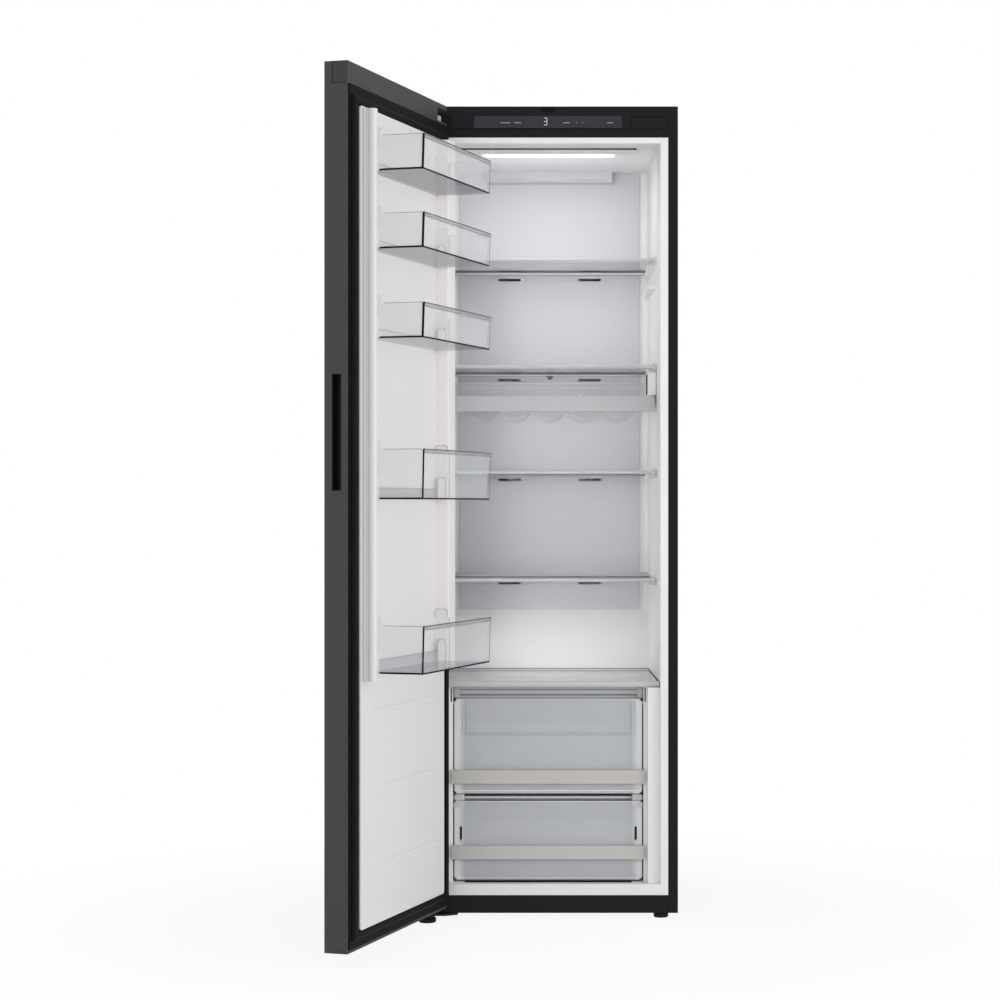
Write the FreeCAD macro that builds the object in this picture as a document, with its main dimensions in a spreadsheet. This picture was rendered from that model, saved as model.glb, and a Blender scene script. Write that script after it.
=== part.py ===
# Full-height single-door refrigerator with its door standing open.
# Millimetres. X runs to the right, Y back into the cabinet, Z up.
# The origin is on the floor, below the middle of the cabinet's front plane.
import FreeCAD, Part
import math
import os
import re

import Sketcher
from FreeCAD import Placement, Rotation, Vector

doc = FreeCAD.newDocument("AllRefrigerator")
sheet = doc.addObject("Spreadsheet::Sheet", "Dims")

driving = {
    # cabinet
    "cabinet_width": 595.0,
    "cabinet_height": 1860.0,
    "cabinet_depth": 636.0,
    "base_gap": 12.0,
    "steel": 1.2,
    "base_steel": 2.0,
    "skin": 2.0,
    "flange_width": 22.5,
    "lip_width": 17.5,
    "lip_bottom": 53.0,
    "lip_top": 1788.0,
    "opening_bottom": 78.0,
    "opening_top": 1775.0,
    "opening_corner": 12.0,
    "housing_bottom": 1808.0,
    "housing_depth": 40.0,
    # liner
    "wall_draft": 12.0,
    "rear_wall": 503.0,
    "rear_corner": 14.0,
    "hump_front": 437.0,
    "hump_shoulder": 540.0,
    "hump_top": 686.0,
    "recess_half": 226.5,
    "recess_depth": 74.0,
    "machine_front": 482.0,
    "machine_top": 300.0,
    "rib_half": 236.0,
    "rib_front": 178.0,
    "rib_back": 455.0,
    "rib_height": 10.0,
    "spare_drop": 50.0,
    # control housing
    "display_half": 169.5,
    "display_bottom": 1810.0,
    "display_top": 1838.0,
    "display_thick": 1.0,
    "display_proud": 0.4,
    "blank_left": 189.0,
    "blank_right": 276.0,
    "blank_top": 1836.0,
    "tab_half": 15.0,
    "tab_bottom": 1842.0,
    # duct panel and lamp
    "duct_face": 500.0,
    "duct_back": 506.0,
    "slot_width": 55.0,
    "slot_height": 6.0,
    "slot_centre": 100.0,
    "slot_drop": 9.0,
    "low_slot_drop": 13.5,
    "hood_half": 156.0,
    "hood_front": 468.0,
    "hood_bottom": 1748.0,
    "lamp_half": 205.0,
    "lamp_front": 77.0,
    "lamp_back": 200.0,
    "lamp_thick": 5.0,
    "led_half": 156.0,
    "led_front": 137.0,
    "led_back": 190.0,
    # shelves
    "shelf_one": 1518.0,
    "shelf_two": 1267.6,
    "shelf_three": 1019.0,
    "shelf_four": 765.6,
    "shelf_front": 140.0,
    "shelf_back": 485.0,
    "shelf_half": 243.5,
    "shelf_glass": 4.0,
    "shelf_lift": 2.0,
    "trim_height": 9.0,
    "trim_depth": 13.0,
    "rear_band": 75.0,
    "rear_upstand": 14.0,
    "end_piece": 6.0,
    "end_depth": 36.0,
    # crisper cover
    "cover_front": 25.0,
    "cover_back": 434.0,
    "cover_low": 527.0,
    "cover_glass_low": 535.0,
    "cover_glass": 5.0,
    "cover_nose": 14.0,
    "cover_nose_top": 541.0,
    "apron_front": 58.0,
    "apron_thick": 6.0,
    "apron_bottom": 500.0,
    # drawers
    "guide_half": 229.0,
    "guide_lip": 219.5,
    "guide_front": 14.0,
    "guide_back": 430.0,
    "guide_top": 527.0,
    "ledge_half": 216.6,
    "ledge_height": 6.0,
    "drawer_half": 214.0,
    "drawer_front_half": 216.5,
    "drawer_face": 40.0,
    "drawer_plate": 6.0,
    "drawer_back": 425.0,
    "drawer_wall": 2.5,
    "drawer_draft": 8.0,
    "drawer_corner": 12.0,
    "upper_low": 281.0,
    "upper_high": 498.0,
    "lower_low": 82.0,
    "lower_high": 262.0,
    "rim_half": 219.0,
    "rim_drop": 9.0,
    "rim_thick": 3.5,
    "rim_gap": 0.5,
    "grip_half": 222.0,
    "grip_depth": 12.0,
    "grip_height": 33.0,
    "grip_wall": 3.0,
    "upper_grip": 303.0,
    "lower_grip": 129.0,
    # bottle rack
    "rack_front": 140.0,
    "rack_plate": 6.0,
    "rack_half": 250.0,
    "rack_low": 1166.0,
    "rack_high": 1203.0,
    "rack_back": 440.0,
    "rack_wall": 3.0,
    "rack_pitch": 83.0,
    "rack_dip": 26.0,
    "rack_crest": 1178.0,
    "rack_side": 229.0,
    "hanger_half": 240.0,
    "hanger_ledge": 233.0,
    "hanger_low": 1182.0,
    # door, given as if closed
    "door_width": 595.0,
    "door_low": 30.0,
    "door_high": 1853.0,
    "door_outer": 64.0,
    "door_inner": 12.0,
    "door_steel": 1.5,
    "door_rest": 107.0,
    "front_strip": 17.0,
    "cap_top_low": 1808.0,
    "cap_bottom_high": 36.0,
    "hinge_block": 58.0,
    "pin_inset": 24.0,
    "pin_forward": 50.0,
    "pin_radius": 5.0,
    "fit_gap": 0.05,
    "bush_radius": 8.0,
    "notch_length": 60.0,
    "notch_low": 1813.0,
    "notch_high": 1842.0,
    "notch_skin": 2.5,
    "bush_top": 1850.0,
    "door_sheet": 1.5,
    "plateau": 10.0,
    "plateau_left": 45.0,
    "plateau_right": 550.0,
    "plateau_low": 71.0,
    "plateau_high": 1768.0,
    "plateau_corner": 8.0,
    "dike": 40.0,
    "dike_low": 583.0,
    "dike_high": 1762.0,
    "near_dike_in": 523.0,
    "near_dike_out": 545.0,
    "far_dike_in": 98.0,
    "groove_one": 518.0,
    "groove_two": 356.0,
    "groove_three": 194.0,
    "groove_depth": 3.0,
    "groove_width": 10.0,
    "gasket_edge": 4.0,
    "gasket_base": 3.0,
    "gasket_bead_in": 34.0,
    "gasket_bead_out": 12.0,
    "gasket_bead": 11.2,
    "handle_low": 975.0,
    "handle_high": 1214.0,
    "handle_near": 26.0,
    "handle_far": 47.0,
    "handle_depth": 26.0,
    "handle_wall": 2.0,
    # door bins
    "bin_1_low": 1636.0,
    "bin_1_high": 1708.0,
    "bin_2_low": 1475.0,
    "bin_2_high": 1547.0,
    "bin_3_low": 1290.0,
    "bin_3_high": 1362.0,
    "bin_4_low": 958.0,
    "bin_4_high": 1061.0,
    "bin_5_low": 598.0,
    "bin_5_high": 697.0,
    "bin_left": 101.0,
    "bin_right": 526.0,
    "bin_front": 140.0,
    "bin_neck_left": 112.0,
    "bin_neck_right": 519.0,
    "bin_neck": 46.0,
    "bin_back": 13.0,
    "bin_back_wall": 24.0,
    "bin_wall": 2.5,
    "bin_draft": 4.0,
    "bin_corner": 10.0,
    "bin_rim": 1.0,
    "bin_rim_height": 8.0,
    "bin_ear": 18.0,
    "bin_ear_depth": 30.0,
    "boss_back": 20.0,
    "boss_front": 38.0,
    "boss_height": 50.0,
    "boss_gap": 0.5,
    # hinges, feet and rollers
    "arm_half": 6.0,
    "arm_lean": 21.5,
    "arm_low": 1816.0,
    "arm_high": 1838.0,
    "bracket_low": 22.0,
    "bracket_high": 27.0,
    "bracket_wing_low": 7.0,
    "bracket_wing_right": 207.0,
    "pin_reach": 50.0,
    "left_foot_radius": 20.0,
    "left_foot_top": 20.0,
    "right_foot_radius": 17.0,
    "right_foot_x": 259.0,
    "right_foot_y": 21.0,
    "right_foot_top": 11.0,
    "stem_top": 30.0,
    "boss_radius": 11.0,
    "roller_radius": 18.0,
    "roller_width": 18.0,
    "roller_x": 225.0,
    "roller_y": 585.0,
    "axle_radius": 4.0,
    "roller_fit": 0.08,
    # machine space
    "compressor_x": 95.0,
    "compressor_y": 558.0,
    "compressor_radius": 64.0,
    "compressor_top": 205.0,
    "fan_shaft": 3.0,
    "fan_fit": 0.06,
    "fan_radius": 58.0,
    "fan_hub": 20.0,
    "evaporator_fan_z": 1160.0,
    "condenser_fan_z": 105.0,
}

for row, (alias, value) in enumerate(driving.items(), 1):
    sheet.set(f"A{row}", alias)
    sheet.set(f"B{row}", str(value))
    sheet.setAlias(f"B{row}", alias)
doc.recompute()

pieces = []


def qualified(text):
    """Names the sheet in front of each of its cells."""
    def with_sheet(match):
        word = match.group()
        return "Dims." + word if word in driving else word
    return re.sub(r"[a-z]\w*", with_sheet, str(text))


def bind(item, prop, text):
    item.setExpression(prop, qualified(text))


def size(text):
    """The number that an expression on the sheet's cells gives now."""
    return float(doc.Dims.evalExpression(qualified(text)))


def less(text):
    return f"-({text})"


def span(text):
    """From minus to plus the same half width."""
    return less(text), text


def keep(item, label, on_door=False):
    """Makes an object a sub-part of its own, swung open with the door where it rides on it."""
    if on_door:
        item.Placement = door_swing
    item.Label = label
    pieces.append(item)
    return item


def box(name, x, y, z):
    item = doc.addObject("Part::Box", name)
    for prop, (low, high) in zip(("Length", "Width", "Height"), (x, y, z)):
        bind(item, prop, f"({high}) - ({low})")
    for axis, (low, high) in zip("xyz", (x, y, z)):
        bind(item, f"Placement.Base.{axis}", low)
    return item


turns = {
    "X": Rotation(Vector(0, 1, 0), 90),
    "Y": Rotation(Vector(1, 0, 0), -90),
    "Z": Rotation(),
}


def cylinder(name, axis, centre, radius, low, high):
    """A round bar along an axis; centre gives its other two coordinates in X, Y, Z order."""
    item = doc.addObject("Part::Cylinder", name)
    item.Placement = Placement(Vector(), turns[axis])
    bind(item, "Radius", radius)
    bind(item, "Height", f"({high}) - ({low})")
    places = dict(zip([letter for letter in "XYZ" if letter != axis], centre))
    places[axis] = low
    for letter, text in places.items():
        bind(item, f"Placement.Base.{letter.lower()}", text)
    return item


def joined(kind, name, members):
    item = doc.addObject(kind, name)
    if kind == "Part::Compound":
        item.Links = list(members)
    else:
        item.Shapes = list(members)
    return item


def fuse(name, *members):
    return joined("Part::MultiFuse", name, members)


def common(name, *members):
    return joined("Part::MultiCommon", name, members)


def group(name, *members):
    return joined("Part::Compound", name, members)


def cut(name, base, *tools):
    item = doc.addObject("Part::Cut", name)
    item.Base = base
    item.Tool = tools[0] if len(tools) == 1 else group(name + "_tools", *tools)
    return item


def mirrored(name, source):
    """The same piece on the other side of the cabinet's middle plane."""
    item = doc.addObject("Part::Mirroring", name)
    item.Source = source
    item.Normal = Vector(1, 0, 0)
    return item


class Through(tuple):
    """A point that the curved edge between two corners of an outline passes through."""


def outline_sketch(body, name, plane, outline, offset):
    """A closed outline on one of the body's planes, each corner bound to the sheet."""
    sketch = body.newObject("Sketcher::SketchObject", name)
    support = [f for f in body.Origin.OriginFeatures if f.Role == plane + "_Plane"][0]
    sketch.AttachmentSupport = (support, [""])
    sketch.MapMode = "FlatFace"
    bind(sketch, "AttachmentOffset.Base.z", less(offset) if plane == "XZ" else offset)
    corners = [p for p in outline if not isinstance(p, Through)]
    places = [Vector(size(a), size(b), 0) for a, b in corners]
    bends = {}
    count = 0
    for point in outline:
        if isinstance(point, Through):
            bends[count - 1] = Vector(size(point[0]), size(point[1]), 0)
        else:
            count += 1
    ends = []
    for i, start in enumerate(places):
        stop = places[(i + 1) % len(places)]
        curve = Part.Arc(start, bends[i], stop) if i in bends else Part.LineSegment(start, stop)
        edge = sketch.addGeometry(curve, False)
        first = 1 if sketch.getPoint(edge, 1).distanceToPoint(start) < 1e-6 else 2
        ends.append((edge, first, 3 - first))
    for i, (edge, first, last) in enumerate(ends):
        after, begin, unused = ends[(i + 1) % len(ends)]
        sketch.addConstraint(Sketcher.Constraint("Coincident", edge, last, after, begin))
        for kind, text, value in zip(("DistanceX", "DistanceY"), corners[i], places[i]):
            held = sketch.addConstraint(Sketcher.Constraint(kind, -1, 1, edge, first, value))
            sketch.setExpression(f"Constraints[{held}]", qualified(text))
    return sketch


def prism(name, plane, outline, low, high):
    """An outline drawn on a plane and carried square to it from low to high."""
    body = doc.addObject("PartDesign::Body", name)
    sketch = outline_sketch(body, name + "_outline", plane, outline, low)
    pad = body.newObject("PartDesign::Pad", name + "_pad")
    pad.Profile = sketch
    bind(pad, "Length", f"({high}) - ({low})")
    pad.Reversed = plane == "XZ"
    return body


def rectangle(a, b):
    return [(a[0], b[0]), (a[1], b[0]), (a[1], b[1]), (a[0], b[1])]


def block(name, x, y, z):
    """A plain block as a body of its own, which can be rounded or placed."""
    return prism(name, "XY", rectangle(x, y), z[0], z[1])


def rounded(body, radius, chosen):
    """Rounds the edges of a body's last feature that a test picks."""
    doc.recompute()
    base = body.Tip
    names = [f"Edge{i}" for i, edge in enumerate(base.Shape.Edges, 1) if chosen(edge)]
    fillet = body.newObject("PartDesign::Fillet", body.Name + f"_round{len(body.Group)}")
    fillet.Base = (base, names)
    bind(fillet, "Radius", radius)
    body.Tip = fillet
    return body


def along(axis):
    """A test that picks straight edges along an axis."""
    def test(edge):
        way = edge.Vertexes[-1].Point - edge.Vertexes[0].Point
        straight = way.Length > 1e-6 and abs(edge.Length - way.Length) < 1e-6
        return straight and abs(way.dot(axis)) > 0.9 * way.Length
    return test


def turned(name, outline, x, y, z="0", axis="Z"):
    """An outline of radius and height turned once round its axis."""
    body = doc.addObject("PartDesign::Body", name)
    sketch = outline_sketch(body, name + "_outline", "XZ", outline, "0")
    spin = body.newObject("PartDesign::Revolution", name + "_turn")
    spin.Profile = sketch
    spin.ReferenceAxis = (sketch, ["V_Axis"])
    spin.Angle = 360
    body.Placement = Placement(Vector(), turns[axis])
    for letter, text in zip("xyz", (x, y, z)):
        bind(body, f"Placement.Base.{letter}", text)
    return body


def round_rectangle(x, y, radius):
    """A rectangle with quarter-round corners."""
    near = f"({radius}) * (1 - sqrt(0.5))"
    left, right = x
    front, back = y
    return [
        (f"{left} + {radius}", front),
        (f"{right} - ({radius})", front),
        Through((f"{right} - {near}", f"{front} + {near}")),
        (right, f"{front} + {radius}"),
        (right, f"{back} - ({radius})"),
        Through((f"{right} - {near}", f"{back} - {near}")),
        (f"{right} - ({radius})", back),
        (f"{left} + {radius}", back),
        Through((f"{left} + {near}", f"{back} - {near}")),
        (left, f"{back} - ({radius})"),
        (left, f"{front} + {radius}"),
        Through((f"{left} + {near}", f"{front} + {near}")),
    ]


def tapered(name, x, y, z, draft, corner):
    """A block whose foot is drawn in on every side by the draft, with rounded upright edges."""
    body = doc.addObject("PartDesign::Body", name)
    foot_x = (f"{x[0]} + {draft}", f"{x[1]} - {draft}")
    foot_y = (f"{y[0]} + {draft}", f"{y[1]} - {draft}")
    low = outline_sketch(body, name + "_foot", "XY", round_rectangle(foot_x, foot_y, corner), z[0])
    high = outline_sketch(body, name + "_brim", "XY", round_rectangle(x, y, corner), z[1])
    loft = body.newObject("PartDesign::AdditiveLoft", name + "_loft")
    loft.Profile = low
    loft.Sections = [high]
    loft.Ruled = True
    return body


def tub(name, x, y, z, wall, draft, corner):
    """An open-topped tub with drafted walls."""
    outer = tapered(name + "_outside", x, y, z, draft, corner)
    inner = tapered(
        name + "_inside",
        (f"{x[0]} + {wall}", f"{x[1]} - {wall}"),
        (f"{y[0]} + {wall}", f"{y[1]} - {wall}"),
        (f"{z[0]} + {wall}", z[1]),
        draft,
        f"{corner} - {wall}",
    )
    return cut(name + "_shell", outer, inner)


# Widths that many pieces share
half = "cabinet_width / 2"
inner_half = "cabinet_width / 2 - steel"
lip_half = "cabinet_width / 2 - flange_width"
opening_half = "cabinet_width / 2 - flange_width - lip_width"
foam_back = "cabinet_depth - steel"
floor_top = "base_gap + base_steel"
roof = "cabinet_height - steel"
pin_x = "pin_inset - cabinet_width / 2"
pin_y = "-pin_forward"

door_swing = Placement(
    Vector(),
    Rotation(Vector(0, 0, 1), -size("door_rest")),
    Vector(size(pin_x), size(pin_y), 0),
)


def wall_at(depth):
    """Half width of the drafted liner cavity at a depth."""
    return f"{opening_half} - wall_draft * ({depth}) / rear_wall"


def cabinet_shell():
    left = box("side_sheet", (less(half), less(inner_half)), ("0", "cabinet_depth"), ("base_gap", roof))
    keep(group("side_sheets", left, mirrored("side_sheet_right", left)), "side_panels")
    top = block("top_sheet", span(half), ("housing_depth", "cabinet_depth"), (roof, "cabinet_height"))
    keep(top, "top_panel")

    sheet_back = box("back_sheet", span(inner_half), (foam_back, "cabinet_depth"), ("machine_top", roof))
    presses = [
        box(
            f"back_press_{i}",
            span("180"),
            (foam_back, "cabinet_depth - steel / 2"),
            (f"{z} - 9", f"{z} + 9"),
        )
        for i, z in enumerate((520, 860, 1200, 1540))
    ]
    keep(cut("back_sheet_pressed", sheet_back, *presses), "back_panel")

    flange = [
        (less(inner_half), "base_gap"),
        (less(lip_half), "base_gap"),
        (less(lip_half), "lip_top"),
        (lip_half, "lip_top"),
        (lip_half, "base_gap"),
        (inner_half, "base_gap"),
        (inner_half, "housing_bottom"),
        (less(inner_half), "housing_bottom"),
    ]
    keep(prism("flange", "XZ", flange, "0", "skin"), "front_flange")
    plinth = block("plinth_strip", span(lip_half), ("0", "skin"), ("base_gap", "lip_bottom"))
    keep(plinth, "plinth")


def base():
    plate = box("base_sheet", span(inner_half), ("skin", foam_back), ("base_gap", floor_top))
    foot = ("right_foot_x", "right_foot_y")
    socket = cylinder("foot_socket", "Z", foot, "boss_radius", "base_gap", "stem_top + 2")
    members = [plate, socket]
    bores = [cylinder("foot_bore", "Z", foot, "pin_radius + fit_gap", "0", "stem_top + 1")]
    axles = []
    for side, sign in (("left", -1), ("right", 1)):
        x = f"{sign} * roller_x"
        bores.append(
            box(
                f"roller_well_{side}",
                (f"{x} - roller_width / 2 - 2", f"{x} + roller_width / 2 + 2"),
                ("roller_y - roller_radius - 5", "roller_y + roller_radius + 5"),
                ("0", floor_top),
            )
        )
        for end, shift in (("a", -1), ("b", 1)):
            lug_x = f"{x} + {shift} * (roller_width / 2 + 4)"
            lug = [
                ("roller_y - 14", "base_gap"),
                ("roller_y + 14", "base_gap"),
                ("roller_y + 9", "roller_radius + 9"),
                Through(("roller_y", "roller_radius + 12")),
                ("roller_y - 9", "roller_radius + 9"),
            ]
            members.append(prism(f"lug_{side}_{end}", "YZ", lug, f"{lug_x} - 1.5", f"{lug_x} + 1.5"))
        ends = (f"{x} - roller_width / 2 - 8", f"{x} + roller_width / 2 + 8")
        place = ("roller_y", "roller_radius")
        bores.append(cylinder(f"axle_bore_{side}", "X", place, "axle_radius + fit_gap", *ends))
        axles.append(cylinder(f"axle_{side}", "X", place, "axle_radius", *ends))
        tread = [
            ("axle_radius + roller_fit", "-roller_width / 2"),
            ("roller_radius - 2", "-roller_width / 2"),
            ("roller_radius", "2 - roller_width / 2"),
            ("roller_radius", "roller_width / 2 - 2"),
            ("roller_radius - 2", "roller_width / 2"),
            ("axle_radius + roller_fit", "roller_width / 2"),
        ]
        roller = turned(f"roller_{side}", tread, x, "roller_y", "roller_radius", "X")
        keep(roller, f"rear_roller_{side}")
    keep(cut("base_pan", fuse("base_members", *members), *bores), "base_plate")
    keep(group("axles", *axles), "roller_axles")


def liner_profile(gap):
    """The liner's side view, drawn outside its cavity by a gap."""
    rise = "(hump_top - hump_shoulder) / (rear_wall - hump_front)"
    slip = f"({gap}) * (sqrt(1 + ({rise})^2) - {rise})"
    return [
        ("0", f"opening_bottom - {gap}"),
        (f"hump_front + {gap}", f"opening_bottom - {gap}"),
        (f"hump_front + {gap}", f"hump_shoulder - {slip}"),
        (f"rear_wall + {gap}", f"hump_top - {slip}"),
        (f"rear_wall + {gap}", f"opening_top + {gap}"),
        ("0", f"opening_top + {gap}"),
    ]


def liner_plan(gap):
    back = f"{opening_half} - wall_draft + {gap}"
    front = f"{opening_half} + {gap}"
    return [
        (less(front), "0"),
        (front, "0"),
        (back, f"rear_wall + {gap}"),
        (less(back), f"rear_wall + {gap}"),
    ]


def liner_block(name, gap):
    """The cavity, or the cavity grown by the liner's thickness."""
    plan = prism(name + "_plan", "XY", liner_plan(gap), f"opening_bottom - {gap}", f"opening_top + {gap}")
    rounded(plan, f"rear_corner + {gap}", lambda edge: upright_at_back(edge))
    side = prism(name + "_side", "YZ", liner_profile(gap), less(half), half)
    return common(name, plan, side)


def upright_at_back(edge):
    upright = abs(edge.Vertexes[0].Y - edge.Vertexes[-1].Y) < 1e-6
    return upright and along(Vector(0, 0, 1))(edge) and edge.Vertexes[0].Y > size("rear_wall") - 1


def liner():
    cavity = liner_block("cavity", "0")
    outside = liner_block("liner_outside", "skin")
    chamber_outside = box(
        "chamber_outside",
        span("recess_half + skin"),
        ("rear_wall", "rear_wall + recess_depth + skin"),
        ("hump_top - skin", "opening_top + skin"),
    )
    chamber = box(
        "chamber",
        span("recess_half"),
        ("rear_wall - 1", "rear_wall + recess_depth"),
        ("hump_top", "opening_top"),
    )
    lip = block("lip", span(lip_half), ("0", "skin"), ("lip_bottom", "lip_top"))
    solid = fuse("liner_solid", outside, chamber_outside, lip)
    shell = cut("liner_shell", solid, cavity, chamber)
    ribs = []
    levels = [f"{shelf} + shelf_lift" for shelf in shelf_levels]
    levels.append("shelf_one - spare_drop")
    for i, top in enumerate(levels):
        rib = [
            ("rib_front", f"{top} - rib_height"),
            ("rib_back", f"{top} - rib_height"),
            ("rib_back", top),
            ("rib_front + 4", top),
            Through(("rib_front + 1", f"{top} - 1.5")),
            ("rib_front", f"{top} - 5"),
        ]
        ribs.append(prism(f"rib_left_{i}", "YZ", rib, less(half), "-rib_half"))
        ribs.append(prism(f"rib_right_{i}", "YZ", rib, "rib_half", half))
    seated = common("ribs_seated", group("ribs", *ribs), outside)
    keep(fuse("liner_formed", shell, seated), "inner_liner")


def foam():
    wall = [
        (inner_half, "skin"),
        (f"{opening_half} + skin", "skin"),
        (f"{opening_half} - wall_draft + skin", "rear_wall + skin"),
        (f"{opening_half} - wall_draft + skin", foam_back),
        (inner_half, foam_back),
    ]
    right = prism("foam_right", "XY", wall, "opening_bottom - skin", "housing_bottom - 2")
    back_half = f"{opening_half} - wall_draft + skin"
    roof_plan = [
        (less(f"{opening_half} + skin"), "skin"),
        (f"{opening_half} + skin", "skin"),
        (back_half, "rear_wall + skin"),
        (back_half, foam_back),
        (less(back_half), foam_back),
        (less(back_half), "rear_wall + skin"),
    ]
    over = prism("foam_over", "XY", roof_plan, "opening_top + skin", "housing_bottom - 2")
    crown = box("foam_crown", span(inner_half), ("housing_depth", foam_back), ("housing_bottom - 2", roof))
    rear = cut(
        "foam_rear",
        box(
            "foam_slab",
            span(back_half),
            ("rear_wall + skin", foam_back),
            ("hump_top - skin", "opening_top + skin"),
        ),
        box(
            "foam_chamber",
            span("recess_half + skin"),
            ("rear_wall", "rear_wall + recess_depth + skin"),
            ("hump_top - skin - 1", "opening_top + skin + 1"),
        ),
    )
    slope = "(hump_top - hump_shoulder) / (rear_wall - hump_front)"
    hump = [
        ("hump_front + skin", "opening_bottom - skin"),
        ("hump_front + skin", "hump_shoulder - skin"),
        (f"hump_front + skin + (hump_top - hump_shoulder) / ({slope})", "hump_top - skin"),
        (foam_back, "hump_top - skin"),
        (foam_back, "machine_top"),
        ("machine_front", "machine_top"),
        ("machine_front", "opening_bottom - skin"),
    ]
    behind = prism("foam_hump", "YZ", hump, less(back_half), back_half)
    floor = cut(
        "foam_floor",
        box("foam_bed", span(inner_half), ("skin", "machine_front"), (floor_top, "opening_bottom - skin")),
        cylinder(
            "foam_socket",
            "Z",
            ("right_foot_x", "right_foot_y"),
            "boss_radius + 0.5",
            "base_gap",
            "stem_top + 3",
        ),
    )
    walls = (mirrored("foam_left", right), right, fuse("foam_top", over, crown), rear, behind, floor)
    keep(group("foam", *walls), "insulation_foam")


def control_band():
    tall = ("housing_bottom", "cabinet_height")
    shell = block("housing_block", span(inner_half), ("0", "housing_depth"), tall)
    rounded(shell, "3", lambda edge: along(Vector(1, 0, 0))(edge) and is_front_top(edge))
    seat = ("-1", "display_thick")
    openings = [
        box("display_seat", span("display_half"), seat, ("display_bottom", "display_top")),
        box("blank_seat", ("blank_left", "blank_right"), seat, ("housing_bottom - 1", "blank_top")),
        box("tab_seat", span("tab_half"), seat, ("tab_bottom", "cabinet_height + 1")),
        box(
            "board_room",
            span("180"),
            ("8", "housing_depth + 1"),
            ("housing_bottom + 6", "cabinet_height - 6"),
        ),
        box("hinge_room", ("-282", "-224"), ("-1", "housing_depth - 6"), ("arm_low", "arm_high")),
    ]
    keep(cut("housing", shell, *openings), "control_housing")
    face = ("-display_proud", "display_thick")
    display = block(
        "display",
        span("display_half - 0.3"),
        face,
        ("display_bottom + 0.3", "display_top - 0.3"),
    )
    keep(rounded(display, "1.5", along(Vector(0, 1, 0))), "control_display")
    blank = block(
        "blank",
        ("blank_left + 0.3", "blank_right - 0.3"),
        ("0", "display_thick"),
        ("housing_bottom", "blank_top - 0.3"),
    )
    keep(blank, "hinge_blank_cover")
    board = fuse(
        "board_parts",
        box("board_sheet", span("150"), ("20", "21.6"), ("housing_bottom + 6", "cabinet_height - 6")),
        box("board_relay", ("60", "84"), ("12", "20"), ("housing_bottom + 14", "housing_bottom + 34")),
        box("board_chip", ("-40", "-10"), ("17", "20"), ("housing_bottom + 14", "housing_bottom + 36")),
    )
    keep(board, "control_board")


def is_front_top(edge):
    first = edge.Vertexes[0]
    return first.Y < 1e-6 and first.Z > size("cabinet_height") - 1


def duct():
    panel = block("duct_sheet", span("recess_half"), ("duct_face", "duct_back"), ("hump_top", "opening_top"))
    upright = along(Vector(0, 0, 1))
    rounded(panel, "2", lambda edge: upright(edge) and edge.Vertexes[0].Y < size("duct_face") + 1)
    hood = [
        ("duct_face", "hood_bottom"),
        ("duct_face", "opening_top"),
        ("hood_front", "opening_top"),
        ("hood_front", "hood_bottom + 14"),
        Through(("hood_front + 3", "hood_bottom + 5")),
        ("hood_front + 12", "hood_bottom"),
    ]
    hub = ("0", "evaporator_fan_z")
    motor = cylinder("fan_motor", "Y", hub, "fan_hub", "duct_back", "duct_back + 14")
    shaft = cylinder("fan_motor_shaft", "Y", hub, "fan_shaft", "duct_back + 14", "duct_back + 44")
    solid = fuse("duct_solid", panel, prism("hood", "YZ", hood, "-hood_half", "hood_half"), motor, shaft)
    slots = []
    for i, shelf in enumerate(shelf_levels):
        for side, sign in (("left", -1), ("right", 1)):
            x = f"{sign} * slot_centre"
            z = f"{shelf} - low_slot_drop" if shelf == "shelf_four" else f"{shelf} - slot_drop"
            slots.append(
                box(
                    f"air_slot_{side}_{i}",
                    (f"{x} - slot_width / 2", f"{x} + slot_width / 2"),
                    ("duct_face - 1", "duct_back + 1"),
                    (f"{z} - slot_height / 2", f"{z} + slot_height / 2"),
                )
            )
    for side, sign in (("left", -1), ("right", 1)):
        x = f"{sign} * (slot_centre - 6)"
        slots.append(
            box(
                f"hood_slot_{side}",
                (f"{x} - slot_width / 2", f"{x} + slot_width / 2"),
                ("hood_front - 1", "hood_front + 5"),
                ("hood_bottom + 5", "hood_bottom + 9"),
            )
        )
    keep(cut("duct", solid, *slots), "duct_panel")


def lamp():
    cover = block(
        "lamp_plate",
        span("lamp_half"),
        ("lamp_front", "lamp_back"),
        ("opening_top - lamp_thick", "opening_top"),
    )
    rounded(cover, "6", along(Vector(0, 0, 1)))
    window = box(
        "lamp_window",
        span("led_half"),
        ("led_front", "led_back"),
        ("opening_top - lamp_thick - 1", "opening_top + 1"),
    )
    keep(cut("lamp", cover, window), "lamp_cover")
    strip = block(
        "led",
        span("led_half"),
        ("led_front", "led_back"),
        ("opening_top - lamp_thick + 1", "opening_top"),
    )
    lengthwise = along(Vector(1, 0, 0))
    rounded(strip, "1.5", lambda edge: lengthwise(edge) and edge.Vertexes[0].Z < size("opening_top - 3"))
    keep(strip, "led_strip")


shelf_levels = ("shelf_one", "shelf_two", "shelf_three", "shelf_four")


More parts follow.
